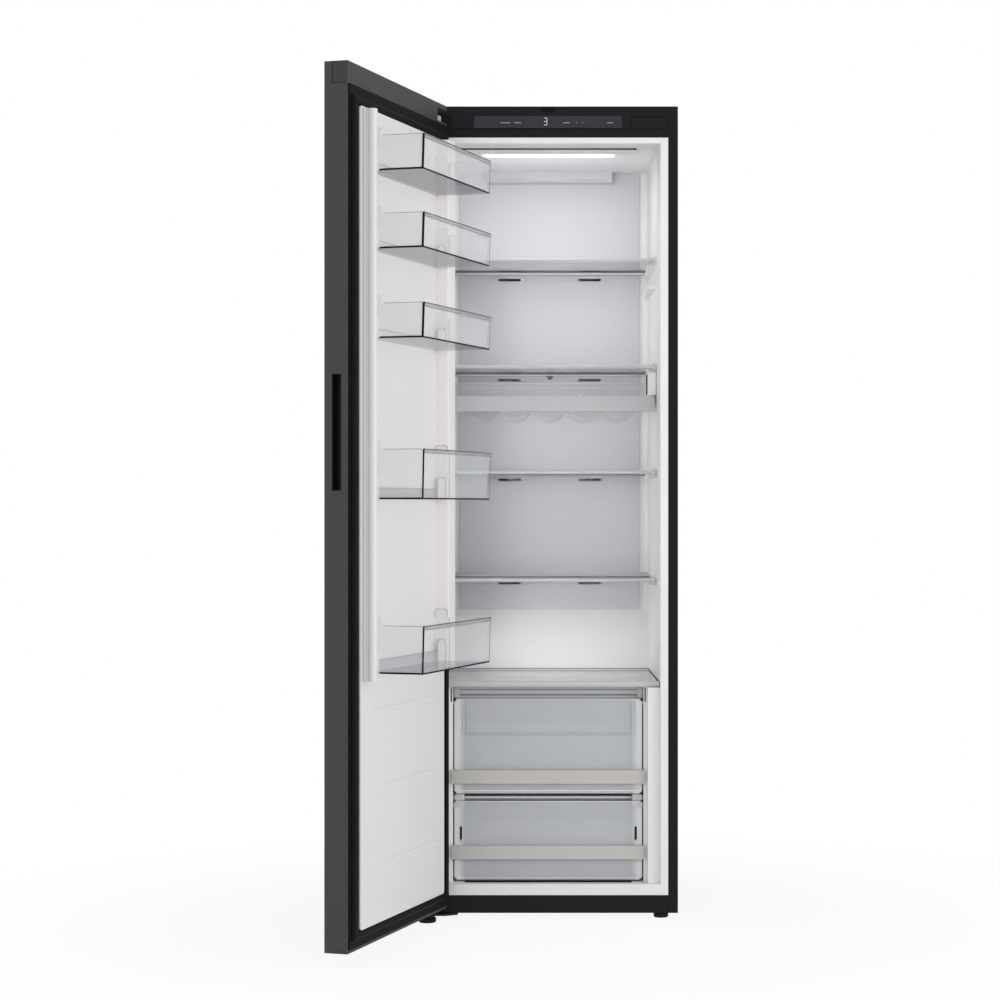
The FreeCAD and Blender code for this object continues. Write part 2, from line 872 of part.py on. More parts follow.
def shelves():
    trims = []
    for i, low in enumerate(shelf_levels, 1):
        glass_low = f"{low} + shelf_lift"
        glass_high = f"{low} + shelf_lift + shelf_glass"
        pane = block(
            f"pane_{i}", span("shelf_half"), ("shelf_front + 3", "shelf_back - 4"), (glass_low, glass_high)
        )
        keep(rounded(pane, "5", along(Vector(0, 0, 1))), f"shelf_{i}_glass")
        nose = [
            ("shelf_front + trim_depth", low),
            ("shelf_front + trim_depth", glass_low),
            ("shelf_front + 3", glass_low),
            ("shelf_front + 3", glass_high),
            ("shelf_front + trim_depth", glass_high),
            ("shelf_front + trim_depth", f"{low} + trim_height - 1"),
            ("shelf_front + 4", f"{low} + trim_height"),
            Through(("shelf_front", f"{low} + trim_height / 2")),
            ("shelf_front + 4", low),
        ]
        trims.append(prism(f"nose_{i}", "YZ", nose, less("shelf_half + 1"), "shelf_half + 1"))
        heel = [
            ("shelf_back - 22", low),
            ("shelf_back", low),
            ("shelf_back", f"{low} + rear_upstand"),
            ("shelf_back - 3", f"{low} + rear_upstand"),
            ("shelf_back - 4", f"{glass_high} + 2"),
            ("shelf_back - rear_band", f"{glass_high} + 1.5"),
            ("shelf_back - rear_band", glass_high),
            ("shelf_back - 4", glass_high),
            ("shelf_back - 4", glass_low),
            ("shelf_back - 22", glass_low),
        ]
        trims.append(prism(f"heel_{i}", "YZ", heel, "-shelf_half", "shelf_half"))
        end = [
            ("shelf_front + 2", f"{low} - 8"),
            ("shelf_front + end_depth", f"{low} - 2"),
            ("shelf_front + end_depth", f"{low} + trim_height"),
            ("shelf_front + 10", f"{low} + trim_height + 4"),
            Through(("shelf_front + 1", f"{low} + trim_height")),
            ("shelf_front - 1", f"{low} + 1"),
        ]
        right = prism(f"end_{i}", "YZ", end, "shelf_half + 1", "shelf_half + 1 + end_piece")
        trims += [right, mirrored(f"end_left_{i}", right)]
    keep(group("trims", *trims), "shelf_trims")


def crisper_cover():
    rear_half = f"{wall_at('cover_back')} - 1.5"
    front_half = f"{wall_at('cover_front')} - 1.5"
    glass = [
        (less(f"{front_half} - 3"), "cover_front + 4"),
        (f"{front_half} - 3", "cover_front + 4"),
        (f"{rear_half} - 3", "cover_back - 4"),
        (less(f"{rear_half} - 3"), "cover_back - 4"),
    ]
    glass_high = "cover_glass_low + cover_glass"
    keep(prism("cover_pane", "XY", glass, "cover_glass_low", glass_high), "crisper_cover_glass")
    nose = [
        ("cover_front + cover_nose", "cover_low"),
        ("cover_front + cover_nose", "cover_glass_low"),
        ("cover_front + 4", "cover_glass_low"),
        ("cover_front + 4", glass_high),
        ("cover_front + cover_nose", glass_high),
        ("cover_front + cover_nose", "cover_nose_top - 0.4"),
        ("cover_front + 5", "cover_nose_top"),
        Through(("cover_front", "cover_low / 2 + cover_nose_top / 2")),
        ("cover_front + 5", "cover_low"),
    ]
    front = prism("cover_nose_bar", "YZ", nose, less(front_half), front_half)
    heel = [
        ("cover_back - 16", "cover_low"),
        ("cover_back", "cover_low"),
        ("cover_back", "cover_nose_top + 2"),
        ("cover_back - 3", "cover_nose_top + 2"),
        ("cover_back - 4", glass_high),
        ("cover_back - 4", "cover_glass_low"),
        ("cover_back - 16", "cover_glass_low"),
    ]
    back = prism("cover_heel", "YZ", heel, less(rear_half), rear_half)
    strip = box(
        "cover_side",
        ("guide_half", rear_half),
        ("cover_front + 6", "cover_back - 2"),
        ("cover_low", "cover_glass_low"),
    )
    apron = box(
        "cover_apron",
        span("ledge_half - 8"),
        ("apron_front", "apron_front + apron_thick"),
        ("apron_bottom", "cover_glass_low"),
    )
    frame = fuse("cover_frame", front, back, strip, mirrored("cover_side_left", strip), apron)
    keep(frame, "crisper_cover_frame")


drawers = (("upper", "upper_low", "upper_high"), ("lower", "lower_low", "lower_high"))


def drawer_guides():
    plan = [
        ("guide_half", "guide_front"),
        (f"{wall_at('guide_front')} - 0.2", "guide_front"),
        (f"{wall_at('guide_back')} - 0.2", "guide_back"),
        ("guide_half", "guide_back"),
    ]
    lip_x = ("guide_lip", "guide_half + 1")
    lip_y = ("drawer_face", "drawer_face + drawer_plate")
    parts = [
        prism("guide_block", "XY", plan, "opening_bottom", "guide_top"),
        box("guide_front_lip", lip_x, lip_y, ("opening_bottom", "guide_top")),
    ]
    for name, low, high in drawers:
        top = f"{high} - rim_drop - rim_gap"
        ledge = [
            ("drawer_face + drawer_plate + 4", f"{top} - ledge_height + 3"),
            ("drawer_face + drawer_plate + 10", f"{top} - ledge_height"),
            ("drawer_back", f"{top} - ledge_height"),
            ("drawer_back", top),
            ("drawer_face + drawer_plate + 4", top),
        ]
        parts.append(prism(f"ledge_{name}", "YZ", ledge, "ledge_half", "guide_half"))
    right = fuse("guide_right", *parts)
    bar = [
        ("apron_front", "lower_high + 2.5"),
        ("apron_front + 18", "lower_high + 2.5"),
        ("apron_front + 18", "upper_low - 9"),
        ("apron_front + 4", "upper_low - 8"),
        Through(("apron_front + 1", "upper_low - 9.5")),
        ("apron_front", "upper_low - 13"),
    ]
    crossbar = prism("guide_crossbar", "YZ", bar, "-guide_half", "guide_half")
    keep(group("guides", right, mirrored("guide_left", right), crossbar), "drawer_guides")


def drawer_bins():
    for name, low, high in drawers:
        x = span("drawer_half")
        y = ("drawer_face + drawer_plate - 2", "drawer_back")
        shell = tub(f"{name}_tub", x, y, (low, high), "drawer_wall", "drawer_draft", "drawer_corner")
        face = block(
            f"{name}_face",
            span("drawer_front_half"),
            ("drawer_face", "drawer_face + drawer_plate"),
            (low, high),
        )
        rounded(face, "10", lambda edge: along(Vector(0, 1, 0))(edge))
        rim_low = f"{high} - rim_drop"
        rim_x = ("drawer_half - 1.5", "rim_half")
        rim_y = ("drawer_face + drawer_plate", "drawer_back")
        rim = box(f"{name}_rim", rim_x, rim_y, (rim_low, f"{rim_low} + rim_thick"))
        solid = [shell, face, rim, mirrored(f"{name}_rim_left", rim)]
        body = fuse(f"{name}_members", *solid)
        if name == "lower":
            vents = []
            for side, sign in (("left", -1), ("right", 1)):
                x_mid = f"{sign} * 201.5"
                vents.append(
                    box(
                        f"vent_{side}",
                        (f"{x_mid} - 2.6", f"{x_mid} + 2.6"),
                        ("drawer_face - 1", "drawer_face + drawer_plate + 1"),
                        (f"{high} - 89", f"{high} - 57"),
                    )
                )
            body = cut(f"{name}_vented", body, *vents)
        keep(body, f"{name}_drawer_bin")
        grip_low = f"{name}_grip"
        grip_high = f"{grip_low} + grip_height"
        front = "drawer_face - grip_depth"
        grip = [
            ("drawer_face", grip_low),
            ("drawer_face", grip_high),
            (f"{front} + 2", grip_high),
            Through((f"{front} + 0.6", f"{grip_high} - 0.6")),
            (front, f"{grip_high} - 2"),
            (front, f"{grip_low} + 2"),
            (f"{front} + grip_wall", f"{grip_low} + 2"),
            (f"{front} + grip_wall", f"{grip_high} - grip_wall - 2"),
            ("drawer_face - grip_wall", f"{grip_high} - grip_wall - 2"),
            ("drawer_face - grip_wall", grip_low),
        ]
        keep(prism(f"{name}_grip_bar", "YZ", grip, "-grip_half", "grip_half"), f"{name}_drawer_handle")


def bottle_rack():
    plate = block(
        "rack_band", span("rack_half"), ("rack_front", "rack_front + rack_plate"), ("rack_low", "rack_high")
    )
    keep(rounded(plate, "2", along(Vector(1, 0, 0))), "rack_front_band")
    count = 5
    start = "-2.5 * rack_pitch"
    upper = [("-rack_side", "rack_crest + 8")]
    lower = []
    for i in range(count):
        left = f"{start} + {i} * rack_pitch + 4"
        right = f"{start} + {i + 1} * rack_pitch - 4"
        middle = f"({left}) / 2 + ({right}) / 2"
        upper += [(left, "rack_crest"), Through((middle, "rack_crest - rack_dip")), (right, "rack_crest")]
        lower += [
            (left, "rack_crest - rack_wall"),
            Through((middle, "rack_crest - rack_dip - rack_wall")),
            (right, "rack_crest - rack_wall"),
        ]
    upper.append(("rack_side", "rack_crest + 8"))
    edge = [
        ("rack_side + 9", "rack_crest + 8"),
        ("rack_side + 9", "rack_crest + 5"),
        ("rack_side + rack_wall", "rack_crest + 5"),
    ]
    other = [
        ("-rack_side - rack_wall", "rack_crest + 5"),
        ("-rack_side - 9", "rack_crest + 5"),
        ("-rack_side - 9", "rack_crest + 8"),
    ]
    wave = upper + edge + lower[::-1] + other
    keep(prism("rack_wave", "XZ", wave, "rack_front + rack_plate", "rack_back"), "rack_tray")
    hanger = [
        ("hanger_ledge", "hanger_low - 4"),
        ("hanger_half + 3", "hanger_low - 4"),
        ("hanger_half + 3", "shelf_two + shelf_lift - rib_height"),
        ("hanger_half", "shelf_two + shelf_lift - rib_height"),
        ("hanger_half", "hanger_low"),
        ("hanger_ledge", "hanger_low"),
    ]
    face = box(
        "hanger_face",
        ("hanger_ledge", f"{wall_at('rack_front + 16')} - 1"),
        ("rack_front + 12", "rack_front + 16.5"),
        ("rack_high + 2", "shelf_two + shelf_lift - rib_height - 0.2"),
    )
    right = fuse("hanger_right", prism("hanger", "XZ", hanger, "rack_front + 16", "rack_back"), face)
    keep(group("hangers", right, mirrored("hanger_left", right)), "rack_hangers")


def hinges_and_feet():
    pin = (pin_x, pin_y)
    arm = [
        (f"{pin_x} - arm_half", pin_y),
        (f"{pin_x} + arm_half", pin_y),
        (f"{pin_x} + arm_half + arm_lean", "4"),
        ("-224", "4"),
        ("-224", "housing_depth - 6"),
        ("-282", "housing_depth - 6"),
        ("-282", "4"),
        (f"{pin_x} - arm_half + arm_lean", "4"),
    ]
    knuckle = cylinder("top_knuckle", "Z", pin, "arm_half + 2", "arm_low", "arm_high")
    post = cylinder("top_pin", "Z", pin, "pin_radius", "arm_low", "bush_top - 1")
    plate = prism("top_arm", "XY", arm, "arm_low", "arm_high")
    keep(fuse("top_hinge_parts", plate, knuckle, post), "top_hinge")

    wing = [
        (less(inner_half), "60"),
        (less(inner_half), "-12"),
        ("-bracket_wing_right - 30", "-12"),
        ("-bracket_wing_right", "4"),
        ("-bracket_wing_right", "60"),
    ]
    reach = [
        (f"{pin_x} - 16", "-6"),
        (f"{pin_x} - 16", pin_y),
        Through((pin_x, f"{pin_y} - 16")),
        (f"{pin_x} + 16", pin_y),
        (f"{pin_x} + 22", "-6"),
    ]
    riser = box(
        "bracket_riser",
        (f"{pin_x} - 16", f"{pin_x} + 22"),
        ("-12", "-6"),
        ("bracket_wing_low", "bracket_high"),
    )
    bottom = fuse(
        "bottom_hinge_parts",
        prism("bracket_wing", "XY", wing, "bracket_wing_low", "base_gap"),
        riser,
        prism("bracket_arm", "XY", reach, "bracket_low", "bracket_high"),
        cylinder("bottom_pin", "Z", pin, "pin_radius", "8", "pin_reach"),
    )
    keep(bottom, "bottom_hinge")

    knob = [
        ("0", "0"),
        ("left_foot_radius - 2", "0"),
        ("left_foot_radius", "2"),
        ("left_foot_radius", "9"),
        ("left_foot_radius - 3", "12"),
        ("left_foot_radius - 5", "left_foot_top"),
        ("pin_radius + fit_gap", "left_foot_top"),
        ("pin_radius + fit_gap", "7"),
        ("0", "7"),
    ]
    ridges = [
        cylinder(
            f"knob_flute_{i}",
            "Z",
            (
                f"{pin_x} + (left_foot_radius + 1.5) * cos({i * 30})",
                f"{pin_y} + (left_foot_radius + 1.5) * sin({i * 30})",
            ),
            "2.6",
            "3",
            "left_foot_top",
        )
        for i in range(12)
    ]
    keep(cut("left_knob", turned("left_foot_turned", knob, *pin), *ridges), "foot_left")
    pad = [
        ("0", "0"),
        ("right_foot_radius - 2", "0"),
        ("right_foot_radius", "2"),
        ("right_foot_radius", "right_foot_top - 2"),
        ("right_foot_radius - 2", "right_foot_top"),
        ("pin_radius", "right_foot_top"),
        ("pin_radius", "stem_top"),
        ("0", "stem_top"),
    ]
    keep(turned("right_foot_turned", pad, "right_foot_x", "right_foot_y"), "foot_right")


def door_u(text):
    """Place along the closed door, counted from its hinge edge."""
    return f"({text}) - door_width / 2"


def door_v(text):
    """Place inward from the closed door's inner face."""
    return f"({text}) - door_inner"


def door_shell():
    outer_in = "door_steel - door_outer"
    strip_back = "front_strip - door_outer"
    side = "door_width / 2"
    pan = [
        (less(side), "-door_outer"),
        (side, "-door_outer"),
        (side, "-door_inner"),
        (f"{side} - door_steel", "-door_inner"),
        (f"{side} - door_steel", outer_in),
        (less(f"{side} - door_steel"), outer_in),
        (less(f"{side} - door_steel"), "-door_inner"),
        (less(side), "-door_inner"),
    ]
    skin = prism("pan", "XY", pan, "door_low", "door_high")
    upright = along(Vector(0, 0, 1))
    rounded(skin, "2.5", lambda edge: upright(edge) and edge.Vertexes[0].Y < size("0.5 - door_outer"))
    wide = span("door_width")
    notch = box(
        "hinge_notch",
        (door_u("-2"), door_u("notch_length")),
        ("door_steel + 1 - door_outer", "1 - door_inner"),
        ("notch_low", "notch_high"),
    )
    slot_y = ("-door_inner - handle_far + 12", "-door_inner - handle_near + 12")
    slot_z = ("handle_low", "handle_high")
    slot = box("handle_slot", ("door_width / 2 - 4", "door_width / 2 + 1"), slot_y, slot_z)
    tools = [
        box("cap_seat", wide, (strip_back, "0"), ("cap_top_low", "door_high + 1")),
        box("shoe_seat", wide, (strip_back, "0"), ("door_low - 1", "cap_bottom_high")),
        notch,
        slot,
    ]
    keep(cut("door_pan", skin, *tools), "door_front_panel", True)

    narrow = span(f"{side} - door_steel")
    cap = fuse(
        "cap_members",
        box("cap_tongue", narrow, (outer_in, strip_back), ("cap_top_low", "door_high")),
        box("cap_block", span(side), (strip_back, "-door_inner"), ("cap_top_low", "door_high")),
    )
    pin = (pin_x, pin_y)
    bore = cylinder("cap_bore", "Z", pin, "bush_radius", "notch_high - 1", "bush_top")
    keep(cut("cap", cap, notch, bore), "door_top_cap", True)

    heel_x = (less(f"{side} - door_steel"), door_u("notch_length"))
    heel_y = (outer_in, "-door_inner - door_sheet")
    shoe = fuse(
        "shoe_members",
        box("shoe_tongue", narrow, (outer_in, strip_back), ("door_low", "cap_bottom_high")),
        box("shoe_block", span(side), (strip_back, "-door_inner"), ("door_low", "cap_bottom_high")),
        box("shoe_heel", heel_x, heel_y, ("cap_bottom_high", "hinge_block")),
    )
    shoe_bore = cylinder("shoe_bore", "Z", pin, "bush_radius", "door_low - 1", "pin_reach + 2")
    keep(cut("shoe", shoe, shoe_bore), "door_bottom_cap", True)

    ring = [
        cylinder("bush_low_body", "Z", pin, "bush_radius", "door_low", "pin_reach + 2"),
        cylinder("bush_high_body", "Z", pin, "bush_radius", "notch_high", "bush_top"),
    ]
    hole = [
        cylinder("bush_low_bore", "Z", pin, "pin_radius + fit_gap", "door_low - 1", "pin_reach + 3"),
        cylinder("bush_high_bore", "Z", pin, "pin_radius + fit_gap", "notch_high - 1", "bush_top + 1"),
    ]
    bushes = group("bushes", *[cut(f"bush_{i}", a, b) for i, (a, b) in enumerate(zip(ring, hole))])
    keep(bushes, "hinge_bushes", True)

    core_y = (outer_in, "-door_inner - door_sheet")
    core = box("core_block", narrow, core_y, ("cap_bottom_high", "cap_top_low"))
    heel_room = box("core_heel", heel_x, ("-door_outer", "0"), ("cap_bottom_high - 1", "hinge_block"))
    grip_x = ("door_width / 2 - handle_depth", "door_width / 2 + 1")
    grip_room = box("core_grip", grip_x, slot_y, ("handle_low", "handle_high"))
    keep(cut("core", core, heel_room, grip_room), "door_foam", True)

    cup = box("cup_block", ("door_width / 2 - handle_depth", side), slot_y, ("handle_low", "handle_high"))
    cup_y = (f"{slot_y[0]} + handle_wall", f"{slot_y[1]} - handle_wall")
    cup_z = ("handle_low + handle_wall", "handle_high - handle_wall")
    cup_x = ("door_width / 2 - handle_depth + handle_wall", "door_width / 2 + 1")
    hollow = block("cup_hollow", cup_x, cup_y, cup_z)
    rounded(hollow, "6", lambda edge: along(Vector(0, 1, 0))(edge) and edge.Vertexes[0].X < size(side))
    keep(cut("cup", cup, hollow), "handle_insert", True)


def boss_arch(low, gap):
    """The arched boss that a door bin hangs on, or the slot round it."""
    top = f"{low} + boss_height + {gap}"
    front = f"boss_front + {gap}"
    back = f"boss_back - {gap}"
    return [
        (door_v(back), f"{low} - 2 * {gap}"),
        (door_v(front), f"{low} - 2 * {gap}"),
        (door_v(front), f"{top} - 9 - {gap}"),
        Through((door_v("boss_front / 2 + boss_back / 2"), top)),
        (door_v(back), f"{top} - 9 - {gap}"),
    ]


bins = {i: (f"bin_{i}_low", f"bin_{i}_high") for i in range(1, 6)}


def door_lining():
    plate = box(
        "lining_sheet",
        span("door_width / 2 - door_steel"),
        ("-door_inner - door_sheet", "-door_inner"),
        ("cap_bottom_high", "cap_top_low"),
    )
    rise = block(
        "lining_rise",
        (door_u("plateau_left"), door_u("plateau_right")),
        ("-door_inner", door_v("plateau")),
        ("plateau_low", "plateau_high"),
    )
    rounded(rise, "plateau_corner", along(Vector(0, 1, 0)))
    members = [plate, rise]

    def dike(name, inside, outside, lean):
        plan = [
            (door_u(inside), door_v("plateau - 1")),
            (door_u(outside), door_v("plateau - 1")),
            (door_u(f"{outside} - {lean} * 3"), door_v("dike - 8")),
            Through((door_u(f"{outside} - {lean} * 5"), door_v("dike - 2"))),
            (door_u(f"{outside} - {lean} * 10"), door_v("dike")),
            (door_u(f"{inside} + {lean} * 8"), door_v("dike")),
            Through((door_u(f"{inside} + {lean} * 3.5"), door_v("dike - 2"))),
            (door_u(f"{inside} + {lean} * 2"), door_v("dike - 7")),
        ]
        return prism(name, "XY", plan, "dike_low", "dike_high")

    members.append(dike("near_dike", "near_dike_in", "near_dike_out", 1))
    members.append(dike("far_dike", "far_dike_in", "plateau_left + 2", -1))
    for i, (low, high) in bins.items():
        far_x = (door_u("far_dike_in - 6"), door_u("bin_neck_left + bin_wall - 1"))
        near_x = (door_u("bin_neck_right - bin_wall + 1"), door_u("near_dike_in + 6"))
        members.append(prism(f"far_boss_{i}", "YZ", boss_arch(low, "0"), *far_x))
        members.append(prism(f"near_boss_{i}", "YZ", boss_arch(low, "0"), *near_x))
    grooves = [
        box(
            f"lining_groove_{i}",
            (door_u("plateau_left + 42"), door_u("plateau_right - 65")),
            (door_v("plateau - groove_depth"), door_v("plateau + 1")),
            (f"{z} - groove_width / 2", f"{z} + groove_width / 2"),
        )
        for i, z in enumerate(("groove_one", "groove_two", "groove_three"))
    ]
    keep(cut("lining", fuse("lining_members", *members), *grooves), "door_liner", True)

    edge = "door_width / 2 - gasket_edge"
    base_ring = cut(
        "gasket_web",
        box(
            "gasket_sheet",
            span(edge),
            (door_v("0"), door_v("gasket_base")),
            ("cap_bottom_high + 2", "cap_top_low - 2"),
        ),
        box(
            "gasket_window",
            (door_u("plateau_left - 0.5"), door_u("plateau_right + 0.5")),
            (door_v("-1"), door_v("gasket_base + 1")),
            ("plateau_low - 0.5", "plateau_high + 0.5"),
        ),
    )
    outside = "door_width / 2 - gasket_bead_out"
    inside = "door_width / 2 - gasket_bead_in"
    bead = block(
        "bead_block",
        span(outside),
        (door_v("gasket_base - 0.5"), door_v("gasket_bead")),
        ("lip_bottom + 1", "plateau_high + 18"),
    )
    rounded(bead, "6", lambda edge: edge.BoundBox.YMin > size(door_v("gasket_bead")) - 0.01)
    bead_window = block(
        "bead_window",
        span(inside),
        (door_v("gasket_base - 2"), door_v("gasket_bead + 1")),
        ("plateau_low - 2", "plateau_high + 2"),
    )
    keep(fuse("gasket", base_ring, cut("bead", bead, bead_window)), "door_gasket", True)


def door_bins():
    wide_x = (door_u("bin_left"), door_u("bin_right"))
    wide_y = (door_v("bin_neck"), door_v("bin_front"))
    neck_x = (door_u("bin_neck_left"), door_u("bin_neck_right"))
    inside_x = (door_u("bin_neck_left + bin_wall"), door_u("bin_neck_right - bin_wall"))
    ear_y = (door_v("bin_back"), door_v("bin_back + bin_ear_depth"))
    for i, (low, high) in bins.items():
        tray = tapered(f"bin_{i}_tray", wide_x, wide_y, (low, high), "bin_draft", "bin_corner")
        neck_y = (door_v("bin_back"), door_v("bin_neck + 14"))
        neck = box(f"bin_{i}_neck", neck_x, neck_y, (low, high))
        rim = block(
            f"bin_{i}_rim",
            (f"{wide_x[0]} - bin_rim", f"{wide_x[1]} + bin_rim"),
            (wide_y[0], f"{wide_y[1]} + bin_rim"),
            (f"{high} - bin_rim_height", high),
        )
        rounded(rim, "bin_corner", along(Vector(0, 0, 1)))
        ears = []
        slots = []
        for end, ear_x in (("far", (neck_x[0], inside_x[0])), ("near", (inside_x[1], neck_x[1]))):
            ear = block(f"bin_{i}_{end}_ear", ear_x, ear_y, (f"{high} - 2", f"{high} + bin_ear"))
            top = size(f"{high} + bin_ear")
            rounded(ear, "5", lambda edge: along(Vector(1, 0, 0))(edge) and edge.Vertexes[0].Z > top - 1)
            ears.append(ear)
            slots.append(prism(f"bin_{i}_{end}_slot", "YZ", boss_arch(low, "boss_gap"), *ear_x))
        hollow = tapered(
            f"bin_{i}_hollow",
            (f"{wide_x[0]} + bin_wall", f"{wide_x[1]} - bin_wall"),
            (f"{wide_y[0]} + bin_wall", f"{wide_y[1]} - bin_wall"),
            (f"{low} + bin_wall", high),
            "bin_draft",
            "bin_corner - bin_wall",
        )
        inside = box(
            f"bin_{i}_inside",
            inside_x,
            (door_v("bin_back + bin_wall"), door_v("bin_neck + 18")),
            (f"{low} + bin_wall", f"{high} + 1"),
        )
        low_back = box(
            f"bin_{i}_low_back",
            inside_x,
            (door_v("bin_back - 1"), door_v("bin_back + bin_wall + 1")),
            (f"{low} + bin_back_wall", f"{high} + 1"),
        )
        solid = fuse(f"bin_{i}_solid", tray, neck, rim, *ears)
        keep(cut(f"bin_{i}", solid, hollow, inside, low_back, *slots), f"door_bin_{i}", True)


def finned_coil(name, x, y, z, fins, tubes):
    """Upright fins along X on a few tubes."""
    step = f"(({x[1]}) - ({x[0]})) / {fins}"
    members = []
    for i in range(fins + 1):
        at = f"({x[0]}) + {i} * ({step})"
        members.append(box(f"{name}_fin_{i}", (f"{at} - 0.8", f"{at} + 0.8"), y, z))
    for i in range(tubes):
        at = f"({z[0]}) + {i + 0.5} * (({z[1]}) - ({z[0]})) / {tubes}"
        middle = f"({y[0]}) / 2 + ({y[1]}) / 2"
        ends = (f"{x[0]} - 10", f"{x[1]} + 10")
        members.append(cylinder(f"{name}_tube_{i}", "X", (middle, at), "5", *ends))
    return fuse(name + "_coil", *members)


def fan(name, x, y, z, axis):
    """A hub with pitched blades round a bore along its axis."""
    ring = [
        ("fan_shaft + fan_fit", "0"),
        ("fan_hub", "0"),
        ("fan_hub", "22"),
        ("fan_hub - 3", "26"),
        ("fan_shaft + fan_fit", "26"),
    ]
    blades = 5
    members = []
    for i in range(blades):
        blade = doc.addObject("Part::Box", f"{name}_blade_{i}")
        bind(blade, "Length", "fan_radius - fan_hub + 3")
        blade.Width = 34
        blade.Height = 2
        pitch = Placement(Vector(size("fan_hub - 3"), -17, -1), Rotation())
        twist = Placement(Vector(0, 0, 13), Rotation(Vector(1, 0, 0), 32))
        around = Placement(Vector(), Rotation(Vector(0, 0, 1), 360.0 * i / blades))
        place = Placement(Vector(size(x), size(y), size(z)), turns[axis])
        blade.Placement = place * around * twist * pitch
        members.append(blade)
    return fuse(name + "_rotor", turned(name + "_hub", ring, x, y, z, axis), *members)


def machine():
    can = [
        ("0", "26"),
        ("compressor_radius - 22", "26"),
        ("compressor_radius - 4", "44"),
        ("compressor_radius", "70"),
        ("compressor_radius", "118"),
        ("compressor_radius + 5", "118"),
        ("compressor_radius + 5", "126"),
        ("compressor_radius", "126"),
        ("compressor_radius", "158"),
        ("compressor_radius * 0.86", "compressor_top - 18"),
        ("compressor_radius * 0.55", "compressor_top"),
        ("0", "compressor_top"),
    ]
    legs = box(
        "compressor_legs",
        ("compressor_x - 70", "compressor_x + 70"),
        ("compressor_y - 55", "compressor_y + 55"),
        ("22", "27"),
    )
    members = [turned("compressor_can", can, "compressor_x", "compressor_y"), legs]
    for i, (sx, sy) in enumerate(((-1, -1), (1, -1), (1, 1), (-1, 1))):
        at = (f"compressor_x + {sx} * 58", f"compressor_y + {sy} * 44")
        members.append(cylinder(f"compressor_mount_{i}", "Z", at, "11", floor_top, "22"))
    keep(fuse("compressor_members", *members), "compressor")

    coil = finned_coil("condenser", ("-190", "-100"), ("500", "612"), ("40", "230"), 7, 3)
    stand = box("condenser_stand", ("-190", "-100"), ("540", "572"), (floor_top, "42"))
    keep(fuse("condenser_members", coil, stand), "condenser")
    web = box("fan_web", ("-20", "-16"), ("494", "622"), (floor_top, "200"))
    motor = cylinder("condenser_motor", "X", ("558", "condenser_fan_z"), "fan_hub", "-34", "-20")
    shaft = cylinder("condenser_shaft", "X", ("558", "condenser_fan_z"), "fan_shaft", "-64", "-34")
    vents = [
        cylinder(
            f"fan_vent_{i}",
            "X",
            (f"558 + 38 * cos({i * 60})", f"condenser_fan_z + 38 * sin({i * 60})"),
            "15",
            "-24",
            "-12",
        )
        for i in range(6)
    ]
    keep(fuse("fan_frame", cut("fan_web_open", web, *vents), motor, shaft), "fan_bracket")
    keep(fan("condenser_fan_wheel", "-62", "558", "condenser_fan_z", "X"), "condenser_fan")

    pan_x = ("compressor_x - 78", "compressor_x + 78")
    upright = along(Vector(0, 0, 1))
    tray = block("tray", pan_x, ("498", "618"), ("compressor_top", "compressor_top + 32"))
    rounded(tray, "10", upright)
    well_x = ("compressor_x - 76", "compressor_x + 76")
    well = block("tray_well", well_x, ("500", "616"), ("compressor_top + 2", "compressor_top + 33"))
    keep(cut("tray_open", tray, rounded(well, "8", upright)), "drain_pan")

    sheet_y = (foam_back, "cabinet_depth")
    cover = box("cover_sheet", span(inner_half), sheet_y, ("base_gap + 6", "machine_top"))
    through = (f"{foam_back} - 1", "cabinet_depth + 1")
    louvres = []
    for i in range(9):
        z = f"70 + {i} * 20"
        for side, low, high in (("left", -200, -60), ("right", 20, 160)):
            louvres.append(box(f"louvre_{side}_{i}", (low, high), through, (z, f"{z} + 7")))
    inlet_x = ("196", "228")
    inlet_z = ("150", "176")
    louvres.append(box("inlet_hole", inlet_x, through, inlet_z))
    keep(cut("machine_cover", cover, *louvres), "rear_cover")
    socket = box("inlet_body", inlet_x, ("cabinet_depth - 26", "cabinet_depth"), inlet_z)
    mouth = block("inlet_mouth", ("199", "225"), ("cabinet_depth - 18", "cabinet_depth + 1"), ("153", "173"))
    rounded(mouth, "4", along(Vector(0, 1, 0)))
    blades = [
        box(
            f"inlet_blade_{i}",
            (f"{x} - 1", f"{x} + 1"),
            ("cabinet_depth - 19", "cabinet_depth - 4"),
            ("160", "166"),
        )
        for i, x in enumerate((205, 212, 219))
    ]
    keep(fuse("inlet", cut("inlet_shell", socket, mouth), *blades), "power_inlet")

    chamber_y = ("duct_back", "rear_wall + recess_depth")
    cold = finned_coil("evaporator", ("-185", "185"), chamber_y, ("760", "1000"), 14, 3)
    keep(cold, "evaporator")
    keep(fan("evaporator_fan_wheel", "0", "duct_back + 16", "evaporator_fan_z", "Y"), "evaporator_fan")


cabinet_shell()
base()
liner()
foam()
control_band()
duct()
lamp()
shelves()
crisper_cover()
drawer_guides()
drawer_bins()
bottle_rack()
hinges_and_feet()
door_shell()
door_lining()
door_bins()
machine()

doc.recompute()
failed = [item.Name for item in doc.Objects if "Invalid" in item.State or "Error" in item.State]
if failed:
    raise RuntimeError(f"failed objects: {failed}")
for item in doc.Objects:
    if hasattr(item, "Shape") and (item.Shape.isNull() or not item.Shape.isValid()):
        raise RuntimeError(f"{item.Name} has no valid shape")
for item in pieces:
    if not item.Shape.Solids:
        raise RuntimeError(f"{item.Label} has no solid")

os.makedirs("parts", exist_ok=True)
for item in pieces:
    item.Shape.exportStep(f"parts/{item.Label}.step")
print(len(pieces), "sub-parts written")
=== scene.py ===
import math

